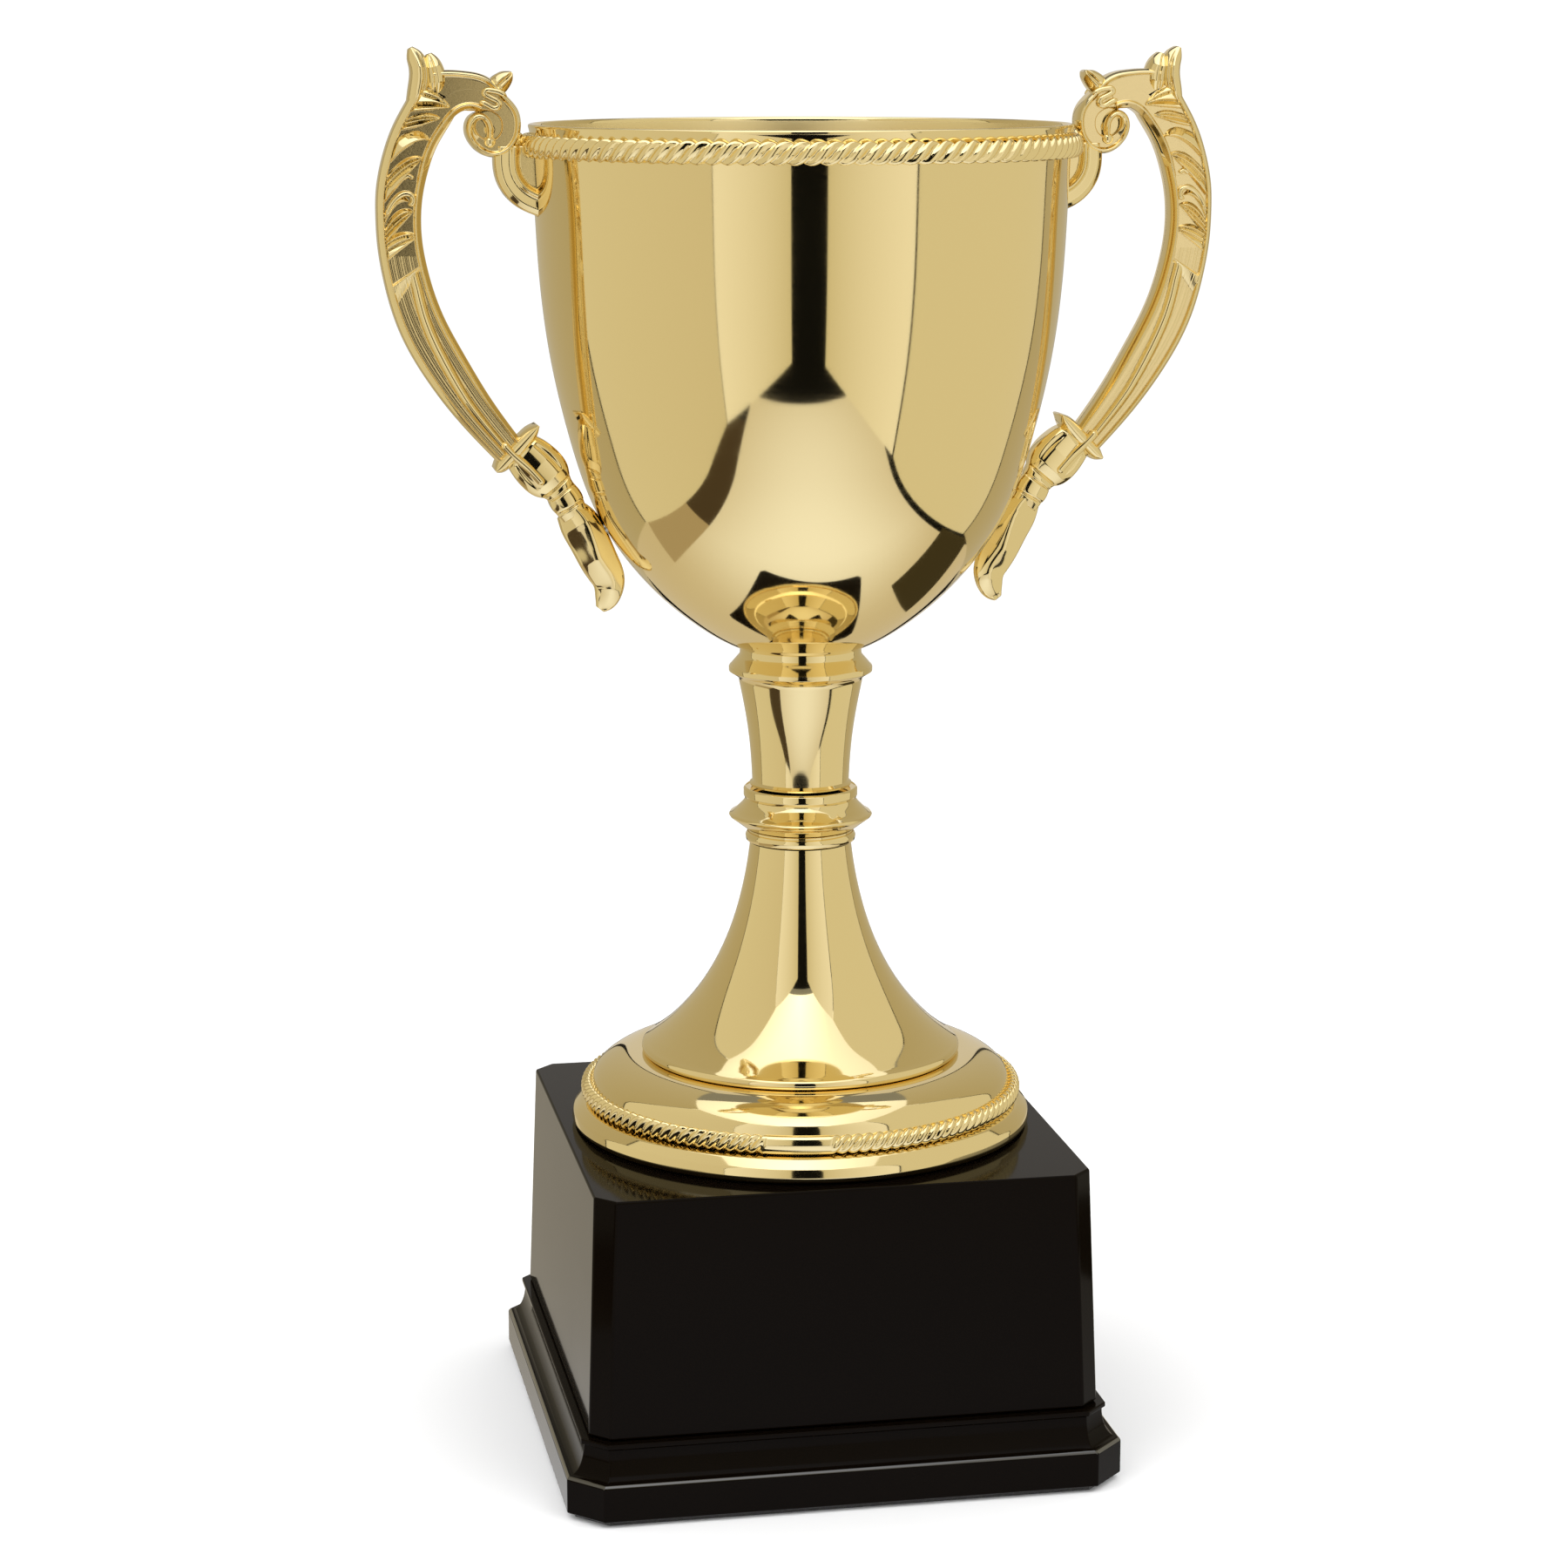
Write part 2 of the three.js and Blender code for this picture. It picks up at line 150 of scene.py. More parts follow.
def rounded(corners, steps=4):
    """A closed outline from (r, h, fillet radius) corners, each fillet an arc of steps + 1 points."""
    out = []
    n = len(corners)
    for i in range(n):
        q, p, r = (np.array(corners[j % n][:2], float) for j in (i - 1, i, i + 1))
        fillet = corners[i][2]
        to_q, to_r = q - p, r - p
        lq, lr = np.linalg.norm(to_q), np.linalg.norm(to_r)
        if fillet <= 0 or lq < TINY or lr < TINY:
            out.append(p)
            continue
        to_q, to_r = to_q / lq, to_r / lr
        half = math.acos(float(np.clip(to_q @ to_r, -1, 1))) / 2
        if half > NEARLY_STRAIGHT:
            out.append(p)
            continue
        back = min(fillet / math.tan(half), FILLET_SHARE * lq, FILLET_SHARE * lr)
        a, b = p + to_q * back, p + to_r * back
        for k in range(steps + 1):
            t = k / steps
            out.append((1 - t) ** 2 * a + 2 * t * (1 - t) * p + t ** 2 * b)
    return np.array(out)


def offset(line, wall):
    """The line moved sideways by wall, to the left of its direction for a positive wall."""
    d = np.gradient(line, axis=0)
    d /= np.linalg.norm(d, axis=1)[:, None]
    return line + wall * np.stack([-d[:, 1], d[:, 0]], 1)


def lathe(name, outline, material, around=192, sharp=40):
    """A closed outline of (r, h) turned round the trophy's axis."""
    outline = np.asarray(outline, float)
    angle = np.arange(around) * 2 * math.pi / around
    r, h = outline[:, 0][:, None], outline[:, 1][:, None]
    points = np.stack([r * np.cos(angle), r * np.sin(angle), h + 0 * angle], -1).reshape(-1, 3)
    return add_mesh(name, place(points), grid_faces(len(outline), around, True, True), material, sharp)


def finish_piece(piece, node):
    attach(piece, BODY)
    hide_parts(node)
    return piece


# ---------------------------------------------------------------- materials


class Nodes:
    """A material and short ways to add nodes to it."""

    def __init__(self, name):
        self.material = bpy.data.materials.new(name)
        self.material.use_nodes = True
        self.tree = self.material.node_tree
        self.shader = self.tree.nodes["Principled BSDF"]
        self.coords = self.tree.nodes.new("ShaderNodeTexCoord").outputs["Object"]

    def add(self, kind, inputs=None, **settings):
        node = self.tree.nodes.new(kind)
        for key, value in settings.items():
            setattr(node, key, value)
        for key, value in (inputs or {}).items():
            if isinstance(value, bpy.types.NodeSocket):
                self.tree.links.new(value, node.inputs[key])
            else:
                node.inputs[key].default_value = value
        return node

    def scaled(self, x, y, z):
        return self.add("ShaderNodeMapping", {"Vector": self.coords, "Scale": (x, y, z)}).outputs["Vector"]

    def noise(self, scale, detail=3.0, vector=None, roughness=0.5):
        return self.add("ShaderNodeTexNoise", {"Vector": vector or self.coords, "Scale": scale,
                                               "Detail": detail, "Roughness": roughness}).outputs["Fac"]

    def ramp(self, value, stops):
        """A map of value through (input, output) stops, as a grey."""
        node = self.add("ShaderNodeValToRGB", {"Fac": value})
        elements = node.color_ramp.elements
        while len(elements) < len(stops):
            elements.new(0.5)
        for element, (at, level) in zip(elements, stops):
            element.position = at
            element.color = (level, level, level, 1.0)
        return node.outputs["Color"]

    def math(self, operation, a, b):
        return self.add("ShaderNodeMath", {0: a, 1: b}, operation=operation).outputs[0]

    def mix(self, factor, a, b):
        node = self.add("ShaderNodeMix", data_type="RGBA")
        for key, value in (("Factor", factor), ("A", a), ("B", b)):
            socket = [s for s in node.inputs if s.name == key and s.enabled][0]
            if isinstance(value, bpy.types.NodeSocket):
                self.tree.links.new(value, socket)
            else:
                socket.default_value = (*value, 1.0) if isinstance(value, tuple) else value
        return [s for s in node.outputs if s.enabled][0]

    def bump(self, height, strength, distance, under=None):
        inputs = {"Height": height, "Strength": strength, "Distance": distance}
        if under is not None:
            inputs["Normal"] = under
        return self.add("ShaderNodeBump", inputs).outputs["Normal"]

    def set(self, **values):
        names = {"base": "Base Color", "metal": "Metallic", "rough": "Roughness", "normal": "Normal",
                 "specular": "Specular IOR Level", "coat": "Coat Weight", "sheen": "Sheen Weight",
                 "sheen_rough": "Sheen Roughness"}
        for key, value in values.items():
            socket = self.shader.inputs[names[key]]
            if isinstance(value, bpy.types.NodeSocket):
                self.tree.links.new(value, socket)
            else:
                socket.default_value = (*value, 1.0) if isinstance(value, tuple) else value
        return self.material


GOLD = (0.93, 0.78, 0.43)
GOLD_DEEP = (0.90, 0.74, 0.39)
GOLD_SATIN = (0.88, 0.71, 0.38)


def gold_plate(name, dull):
    """Polished plate: mirror-like, with faint handling haze and turning marks that run round the axis."""
    n = Nodes(name)
    haze = n.noise(26.0, 4.0)
    smudge = n.noise(9.0, 2.0)
    rings = n.noise(900.0, 2.0, n.scaled(0.02, 0.02, 1.0))
    hazed = n.ramp(haze, [(0.35, dull), (0.75, dull + 0.03)])
    rough = n.math("ADD", hazed, n.ramp(rings, [(0.3, 0.0), (0.8, 0.02)]))
    base = n.mix(smudge, GOLD, GOLD_DEEP)
    normal = n.bump(rings, 0.03, 0.00002)
    return n.set(base=base, metal=1.0, rough=rough, normal=normal)


def gold_casting():
    """Cast and plated metal: polished on its raised parts, satin where the mesh's satin value says."""
    n = Nodes("gold_casting")
    satin = n.add("ShaderNodeAttribute", attribute_name="satin").outputs["Fac"]
    brushed = n.noise(2600.0, 3.0)
    haze = n.noise(60.0, 3.0)
    polished = n.ramp(haze, [(0.3, 0.05), (0.8, 0.09)])
    dull = n.ramp(brushed, [(0.3, 0.16), (0.7, 0.21)])
    rough = n.mix(satin, polished, dull)
    base = n.mix(n.math("MULTIPLY", satin, 0.8), n.mix(haze, GOLD, GOLD_DEEP), GOLD_SATIN)
    depth = n.math("MULTIPLY", brushed, satin)
    normal = n.bump(depth, 0.07, 0.00004)
    return n.set(base=base, metal=1.0, rough=rough, normal=normal)


def black_gloss(name, specular, coat=0.0):
    """Moulded gloss plastic: near black, with faint flow haze, fine scratches and a very slight waviness."""
    n = Nodes(name)
    flow = n.noise(14.0, 3.0, n.scaled(1.0, 1.0, 2.5))
    scratch = n.noise(700.0, 2.0, n.scaled(1.0, 1.0, 0.06))
    hazed = n.ramp(flow, [(0.35, 0.07), (0.75, 0.12)])
    rough = n.math("ADD", hazed, n.ramp(scratch, [(0.62, 0.0), (0.8, 0.05)]))
    base = n.mix(flow, (0.0022, 0.0013, 0.0007), (0.0032, 0.0019, 0.001))
    wave = n.noise(30.0, 1.0)
    normal = n.bump(wave, 0.05, 0.0004, n.bump(scratch, 0.03, 0.00003))
    return n.set(base=base, rough=rough, normal=normal, specular=specular, coat=coat)


def zinc_steel():
    n = Nodes("zinc_steel")
    spangle = n.add("ShaderNodeTexVoronoi", {"Vector": n.coords, "Scale": 260.0}).outputs["Distance"]
    rough = n.ramp(spangle, [(0.0, 0.22), (0.8, 0.42)])
    base = n.mix(n.noise(140.0), (0.55, 0.56, 0.58), (0.42, 0.43, 0.45))
    return n.set(base=base, metal=1.0, rough=rough, normal=n.bump(spangle, 0.15, 0.0001))


def iron():
    n = Nodes("iron")
    grain = n.noise(420.0, 5.0)
    base = n.mix(n.noise(45.0), (0.09, 0.085, 0.08), (0.16, 0.11, 0.08))
    return n.set(base=base, metal=0.8, rough=n.ramp(grain, [(0.2, 0.5), (0.8, 0.8)]),
                 normal=n.bump(grain, 0.5, 0.0004))


def cover_board():
    n = Nodes("cover_board")
    fibre = n.noise(600.0, 4.0, n.scaled(1.0, 0.25, 1.0))
    base = n.mix(fibre, (0.09, 0.07, 0.05), (0.16, 0.12, 0.085))
    return n.set(base=base, rough=n.ramp(fibre, [(0.2, 0.7), (0.8, 0.9)]), normal=n.bump(fibre, 0.4, 0.0002))


def felt():
    n = Nodes("felt")
    nap = n.noise(1500.0, 5.0, roughness=0.7)
    base = n.mix(nap, (0.006, 0.006, 0.006), (0.03, 0.028, 0.026))
    return n.set(base=base, rough=0.95, sheen=0.4, sheen_rough=0.6, normal=n.bump(nap, 0.8, 0.0004))


PLATE_DULL = 0.035
INSIDE_DULL = 0.34
PLASTIC_SPECULAR = 0.05
# Specular and coat raised for the painted highlight along the top edge of the plinth's slab
EDGE_SPECULAR = EDGE_COAT = 1.0

MATERIALS = {
    "gold_plate": gold_plate("gold_plate", PLATE_DULL),
    "gold_casting": gold_casting(),
    "black_gloss": black_gloss("black_gloss", PLASTIC_SPECULAR),
    "zinc_steel": zinc_steel(),
    "iron": iron(),
    "cover_board": cover_board(),
    "felt": felt(),
}
# Painted highlight: a copy of the black plastic with its specular and coat raised, put on one edge row so
# that it shows a bright line
PAINTED_HIGHLIGHT_EDGE = black_gloss("black_gloss_painted_highlight_edge", EDGE_SPECULAR, EDGE_COAT)

for part in frame["record"]["subparts"]:
    node = frame["nodes"].get(part["node"])
    if node is not None:
        node.data.materials.clear()
        node.data.materials.append(MATERIALS[part["material_slot"]])

# ---------------------------------------------------------------- turned parts

ROD_HOLE = 3.4
PLATE = MATERIALS["gold_plate"]
INSIDE = gold_plate("gold_plate_inside", INSIDE_DULL)

BOWL_WALL = 1.2
BOWL_AROUND = 256
INSIDE_TOP = 307.8          # where the lip takes over from the inside of the wall
LIP_DULL_ROWS = 6           # last rows of the lip, dull like the inside
BOWL_LINE = [(12.8, 187.2), (18.8, 190), (25.1, 194), (32.5, 200), (39.9, 208), (47.6, 220), (53.3, 236),
             (57.9, 256), (60.3, 276), (61.3, 296), (61.6, 303), (61.85, 306.4), (62.2, 308.1)]
LIP = [(62.3, 308.5), (62.15, 308.85), (61.75, 309.0), (61.3, 308.85), (61.05, 308.4)]


def bowl():
    """The cup, with its inside left duller than its outside."""
    outer = spline(BOWL_LINE, 110)
    inner = offset(outer, BOWL_WALL)[::-1]
    inner = inner[inner[:, 1] < INSIDE_TOP]
    lip = spline([outer[-1], *LIP, inner[0]], 22)[1:-1]
    floor = [(ROD_HOLE, inner[-1][1]), (ROD_HOLE, outer[0][1])]
    piece = lathe("bowl", np.vstack([outer, lip, inner, floor]), PLATE, BOWL_AROUND, sharp=50)
    piece.data.materials.append(INSIDE)
    first = (len(outer) + len(lip) - LIP_DULL_ROWS) * BOWL_AROUND
    for polygon in piece.data.polygons[first:first + (len(inner) + LIP_DULL_ROWS) * BOWL_AROUND]:
        polygon.material_index = 1
    return piece


FLANGE = [(54.1, 73.3, 0.2), (54.9, 74.6, 0.9), (54.6, 76.6, 1.6), (52.6, 78.7, 1.4), (50.0, 79.4, 0.3),
          (49.9, 83.9, 0.2)]
FLANGE_TOP = [(49.9, 83.9), (49.4, 85.2), (48.0, 86.8), (45.4, 88.5), (42.4, 89.7), (40.2, 90.2),
              (38.8, 90.3)]
BELL_LINE = [(36.6, 93.1), (32.8, 96), (28.7, 100), (23.9, 106), (19.3, 114), (16.1, 122), (13.9, 130),
             (12.5, 137.5), (12.0, 141.3)]
BELL_WALL = 1.5
BELL_INSIDE_FROM = 94       # the inside starts here, above the turned-in foot


def flange():
    side = rounded(FLANGE, 6)
    top = spline(FLANGE_TOP, 30)
    under = [(33.5, 90.3), (33.5, 88.8), (40.0, 88.8), (44.8, 87.1), (47.4, 85.2), (48.3, 83.2), (48.3, 79.0),
             (51.0, 76.6), (52.4, 75.0), (52.4, 73.3)]
    return lathe("foot_flange_turned", np.vstack([side, top[1:], under]), PLATE)


def bell():
    bead = spline([(37.2, 90.36), (37.8, 90.8), (38.0, 91.5), (37.7, 92.4), (37.1, 92.8), BELL_LINE[0]], 14)
    skin = spline(BELL_LINE, 80)
    inner = offset(skin, BELL_WALL)[::-1]
    inner = inner[inner[:, 1] > BELL_INSIDE_FROM]
    close = [(10.2, 141.3)]
    foot = [(35.0, 92.4), (35.0, 90.36)]
    return lathe("foot_bell_turned", np.vstack([bead[:-1], skin, close, inner, foot]), PLATE)


KNOP = [(12.2, 141.6, 0), (12.9, 141.8, 0.4), (13.1, 142.9, 0.6), (12.5, 144.2, 0.3)]


def knop():
    lower = spline([(12.4, 144.3), (14.5, 145.9), (16.7, 147.5)], 8)
    upper = spline([(16.7, 148.3), (15.7, 148.9), (14.6, 149.9), (13.5, 151.1), (13.0, 152.0)], 14)
    band = [(13.2, 152.0, 0), (13.5, 152.6, 0.3), (13.5, 154.2, 0.4), (12.9, 154.8, 0.3)]
    tail = [(ROD_HOLE, 154.8), (ROD_HOLE, 141.6)]
    start = rounded(KNOP, 4)
    end = rounded(band, 4)
    return lathe("stem_knop_turned", np.vstack([start, lower, [(16.95, 147.9)], upper, end, tail]), PLATE)


def collar():
    foot = [(11.9, 155.1), (12.1, 155.6)]
    waist = spline([(11.45, 156.2), (11.7, 161.0), (12.6, 169.6), (14.6, 180.4)], 50)
    ring = rounded([(14.8, 180.9, 0), (15.3, 181.4, 0.3), (16.9, 182.4, 0.15), (16.9, 183.4, 0.15),
                    (16.7, 183.7, 0)], 3)
    cone = spline([(16.65, 183.7), (15.55, 185.0), (14.5, 186.2)], 6)
    lip = spline([(14.35, 186.6), (14.3, 187.5), (14.15, 188.0), (13.9, 188.0), (13.4, 187.3),
                  (13.0, 186.8)], 14)
    tail = [(ROD_HOLE, 186.8), (ROD_HOLE, 155.1)]
    return lathe("stem_collar_turned", np.vstack([foot, waist, ring, cone, lip, tail]), PLATE)


finish_piece(bowl(), "cup_bowl")
finish_piece(flange(), "foot_flange")
finish_piece(bell(), "foot_bell")
finish_piece(knop(), "stem_knop")
finish_piece(collar(), "stem_collar")

# ---------------------------------------------------------------- rope beads


ROWS_PER_STRAND = 10
ROPE_COLUMNS = 24
STRAND_FULLNESS = 0.75      # under 1 makes the strands rounder and the grooves between them narrower
SEAM_FADE = 0.25            # share of the seam's half width over which the grooves come back


def rope(name, radius, height, half_out, half_up, strands, lay, groove, material, seam=None):
    """A bead round the axis cut into leaning strands. seam is (angle, half width) of a smooth join."""
    columns = ROPE_COLUMNS
    rows = strands * ROWS_PER_STRAND
    theta = np.arange(rows)[:, None] * 2 * math.pi / rows
    v = np.arange(columns)[None, :] * 2 * math.pi / columns
    phase = strands * theta - lay * v
    lobe = np.abs(np.sin(phase / 2)) ** STRAND_FULLNESS
    cut = groove * (1 - lobe)
    if seam is not None:
        away = np.abs((theta - seam[0] + math.pi) % (2 * math.pi) - math.pi)
        cut = cut * np.clip((away - seam[1]) / (seam[1] * SEAM_FADE), 0.0, 1.0)
    r = radius + (half_out - cut) * np.cos(v)
    z = height + (half_up - cut) * np.sin(v)
    points = np.stack([r * np.cos(theta), r * np.sin(theta), z + 0 * theta], -1).reshape(-1, 3)
    return add_mesh(name, place(points), grid_faces(rows, columns, True, True), material)


FOOT_SEAM = (math.radians(-90 - 11.5), math.radians(8.0))

rim = rope("rim_rope", 62.9, 304.2, 1.6, 2.6, 110, 3, 1.25, PLATE)
finish_piece(rim, "rim_rope_band")
foot_rope = rope("foot_rope", 51.2, 81.65, 1.5, 2.25, 124, 3, 1.1, PLATE, FOOT_SEAM)
finish_piece(foot_rope, "foot_rope_band")

# ---------------------------------------------------------------- handles


class Shells:
    """Closed shells gathered into one mesh, with a satin value for each point."""

    def __init__(self):
        self.points = []
        self.satin = []
        self.faces = []
        self.count = 0

    def add(self, points, faces, satin):
        points = np.asarray(points, float).reshape(-1, 3)
        self.points.append(points)
        self.satin.append(np.broadcast_to(np.asarray(satin, float).reshape(-1), (len(points),)))
        self.faces += [[self.count + i for i in face] for face in faces]
        self.count += len(points)

    def build(self, name, side, material):
        points = np.vstack(self.points) * np.array([side, 1.0, 1.0])
        faces = self.faces if side > 0 else [face[::-1] for face in self.faces]
        piece = add_mesh(name, place(points), faces, material)
        layer = piece.data.attributes.new("satin", "FLOAT", "POINT")
        layer.data.foreach_set("value", np.concatenate(self.satin))
        return piece


def two_sided(shells, x, z, depth, satin):
    """A grid in the handle's plane, standing depth in front of it and behind it, closed all round."""
    rows, columns = x.shape
    front = np.stack([x, -depth, z], -1)
    back = np.stack([x, depth, z], -1)[:, ::-1]
    satin = np.broadcast_to(satin, x.shape)
    faces = grid_faces(rows, 2 * columns, False, True)
    last = (rows - 1) * 2 * columns
    for j in range(columns - 1):
        k = 2 * columns - 1 - j
        faces.append([j, k, k - 1, j + 1])
        faces.append([last + j, last + j + 1, last + k - 1, last + k])
    forward = signed_area(x, z) < 0
    faces = faces if forward else [face[::-1] for face in faces]
    shells.add(np.concatenate([front, back], 1), faces, np.concatenate([satin, satin[:, ::-1]], 1))


def signed_area(x, z):
    """Which way the grid's rows and columns turn, as a sign."""
    a = (x[1:, :-1] - x[:-1, :-1]) * (z[:-1, 1:] - z[:-1, :-1])
    b = (z[1:, :-1] - z[:-1, :-1]) * (x[:-1, 1:] - x[:-1, :-1])
    return float((a - b).sum())


NARROWEST = 0.3             # least width of a ribbon


def sweep(shells, stations, rows, columns, relief):
    """A ribbon along stations of (x, h, width). relief(u, width, x, z, s) gives its depth and satin."""
    line = spline(stations, rows)
    tangent = np.gradient(line[:, :2], axis=0)
    tangent /= np.linalg.norm(tangent, axis=1)[:, None]
    u = np.asarray(columns)[None, :]
    width = np.maximum(line[:, 2][:, None], NARROWEST)
    x = line[:, 0][:, None] - tangent[:, 1][:, None] * (u - 0.5) * width
    z = line[:, 1][:, None] + tangent[:, 0][:, None] * (u - 0.5) * width
    s = np.linspace(0.0, 1.0, rows)[:, None] + 0 * u
    depth, satin = relief(u + 0 * x, width + 0 * x, x, z, s)
    two_sided(shells, x, z, depth, satin)


def edge_columns(count, power=2.0):
    """Fractions from 0 to 1, closer together towards both ends."""
    t = np.linspace(-1.0, 1.0, count)
    return 0.5 + 0.5 * np.sign(t) * (1 - (1 - np.abs(t)) ** power)


CORD_TAPER = 0.06           # share of a cord's length over which each end closes
CORD_END = 0.02


def cord(shells, path, level, radius, around=12, rows=60):
    """A half-sunk round cord along path on the front and on the back, tapered at both ends."""
    line = spline(path, rows)
    tangent = np.gradient(line, axis=0)
    tangent /= np.linalg.norm(tangent, axis=1)[:, None]
    s = np.linspace(0.0, 1.0, rows)
    r = radius * np.sqrt(np.clip(np.minimum(s, 1 - s) / CORD_TAPER, CORD_END, 1.0))[:, None]
    angle = (np.arange(around) * 2 * math.pi / around)[None, :]
    for face_side in (-1, 1):
        x = line[:, 0][:, None] - tangent[:, 1][:, None] * r * np.cos(angle)
        z = line[:, 1][:, None] + tangent[:, 0][:, None] * r * np.cos(angle)
        y = face_side * (level + r * np.sin(angle))
        faces = grid_faces(rows, around, False, True)
        last = (rows - 1) * around
        faces.append(list(range(around))[::-1])
        faces.append([last + j for j in range(around)])
        if face_side < 0:
            faces = [face[::-1] for face in faces]
        shells.add(np.stack([x, y, z], -1), faces, 0.0)


def ball(shells, x, y, z, radius, rings=10, around=20):
    """A small bead."""
    lat = (np.arange(1, rings) / rings - 0.5) * math.pi
    lon = np.arange(around) * 2 * math.pi / around
    px = x + radius * np.cos(lat)[:, None] * np.cos(lon)
    py = y + radius * np.cos(lat)[:, None] * np.sin(lon)
    pz = z + radius * np.sin(lat)[:, None] + 0 * lon
    points = np.vstack([np.stack([px, py, pz], -1).reshape(-1, 3), [(x, y, z - radius), (x, y, z + radius)]])
    faces = grid_faces(rings - 1, around, False, True)
    south, north = (rings - 1) * around, (rings - 1) * around + 1
    top = (rings - 2) * around
    for j in range(around):
        k = (j + 1) % around
        faces.append([south, k, j])
        faces.append([north, top + j, top + k])
    shells.add(points, faces, 0.0)


ARM = [(82.8, 316.0, 11.0), (84.8, 312.4, 10.8), (88.0, 307.0, 10.6), (90.6, 300.2, 10.5),
       (92.0, 293.6, 10.3),
       (92.3, 288.5, 10.0), (92.1, 283.0, 9.95), (91.0, 276.0, 10.1), (87.3, 264, 10.5), (82.6, 255.2, 10.3),
       (76.3, 245.6, 9.1), (67, 234.1, 7.2)]
ARM_WIDTH = 10.8
# Half thickness across the arm, from its outer edge to its inner edge.
ARM_SECTION = [(0, 2.0), (0.06, 2.45), (0.3, 2.95), (0.65, 3.4), (1.0, 3.75), (1.3, 4.0), (1.45, 4.0),
               (1.6, 3.6),
               (1.7, 2.9), (8.8, 2.9), (8.95, 3.6), (9.15, 3.95), (9.45, 3.95), (9.6, 3.75), (10.6, 2.7),
               (10.72, 2.4), (10.8, 2.0)]
FIELD_OUT, FIELD_IN = 1.7, 8.8
FIELD_FLOOR = 2.9
FIELD_COLUMNS = 54
ARCH_FROM, ARCH_BLEND = 299.0, 3.0
# One leaf lobe a row: where its tip stands across the field (0 at the inner rail, 1 at the outer) and the
# tip's height, its upper crease half way out and at the outer rail, its lower crease likewise, its rise.
LOBES = [
    (0.00, 313.0, 315.8, 317.2, 315.0, 316.0, 1.0), (0.00, 313.0, 315.1, 316.0, 313.9, 313.6, 1.1),
    (0.00, 312.9, 313.8, 313.5, 312.4, 312.0, 1.8),
    (0.10, 310.6, 311.6, 310.4, 310.8, 309.9, 0.9), (0.10, 310.5, 310.8, 309.9, 310.0, 309.0, 1.1),
    (0.10, 310.4, 310.0, 309.0, 308.8, 308.0, 1.7),
    (0.02, 305.6, 307.7, 306.2, 304.9, 300.7, 2.1),
    (0.00, 301.7, 301.8, 297.8, 300.9, 296.9, 1.2), (0.00, 301.6, 300.9, 296.9, 299.4, 295.2, 1.4),
    (0.08, 301.0, 299.4, 295.2, 296.2, 291.9, 1.3),
    (0.04, 293.4, 294.2, 289.4, 293.0, 288.2, 1.3), (0.20, 292.2, 293.0, 288.2, 291.4, 287.0, 1.1),
    (0.04, 290.0, 290.1, 286.0, 288.8, 285.2, 1.2), (0.04, 289.9, 288.8, 285.2, 287.5, 284.4, 1.2),
    (0.08, 289.6, 287.5, 284.4, 286.2, 283.2, 1.7),
    (0.00, 284.9, 285.3, 283.4, 284.3, 282.5, 1.3), (0.00, 284.4, 284.3, 282.5, 283.0, 281.3, 0.9),
    (0.00, 283.9, 283.0, 281.3, 281.6, 279.2, 0.8),
]
LOBE_CLIMB = 0.75
LOBE_DROP = 0.2
LOBE_BOLD = 1.3
BLADE_TOP = (277.6, 273.8)
BLADE_LOW = (276.9, 269.6)
RIDGE_AT = [(272.6, 7.0), (265.6, 6.4), (255.0, 5.6), (246.9, 5.0), (234.6, 4.9)]
FACET_RISE = 1.1
RIDGE_RISE, RIDGE_HALF = 0.95, 1.3
STREAK_DEPTH = 0.02
STREAKS_BELOW = 280.0
TIP_SPREAD = 0.1            # half the height of a lobe at its tip
ARCH_SINK = 0.4             # how far the arm lies under the arch's own ribbon
SATIN_FADE = 0.35           # rise over which the satin field turns polished
RAIL_SATIN = 0.2


def crease(a, tip, at_tip, middle, outer):
    """Height along a crease that starts at tip, passes middle half way out and ends at outer."""
    q = np.clip((a - tip) / (1 - tip), 0.0, 1.0)
    return at_tip * (1 - q) * (1 - 2 * q) + middle * 4 * q * (1 - q) + outer * q * (2 * q - 1)


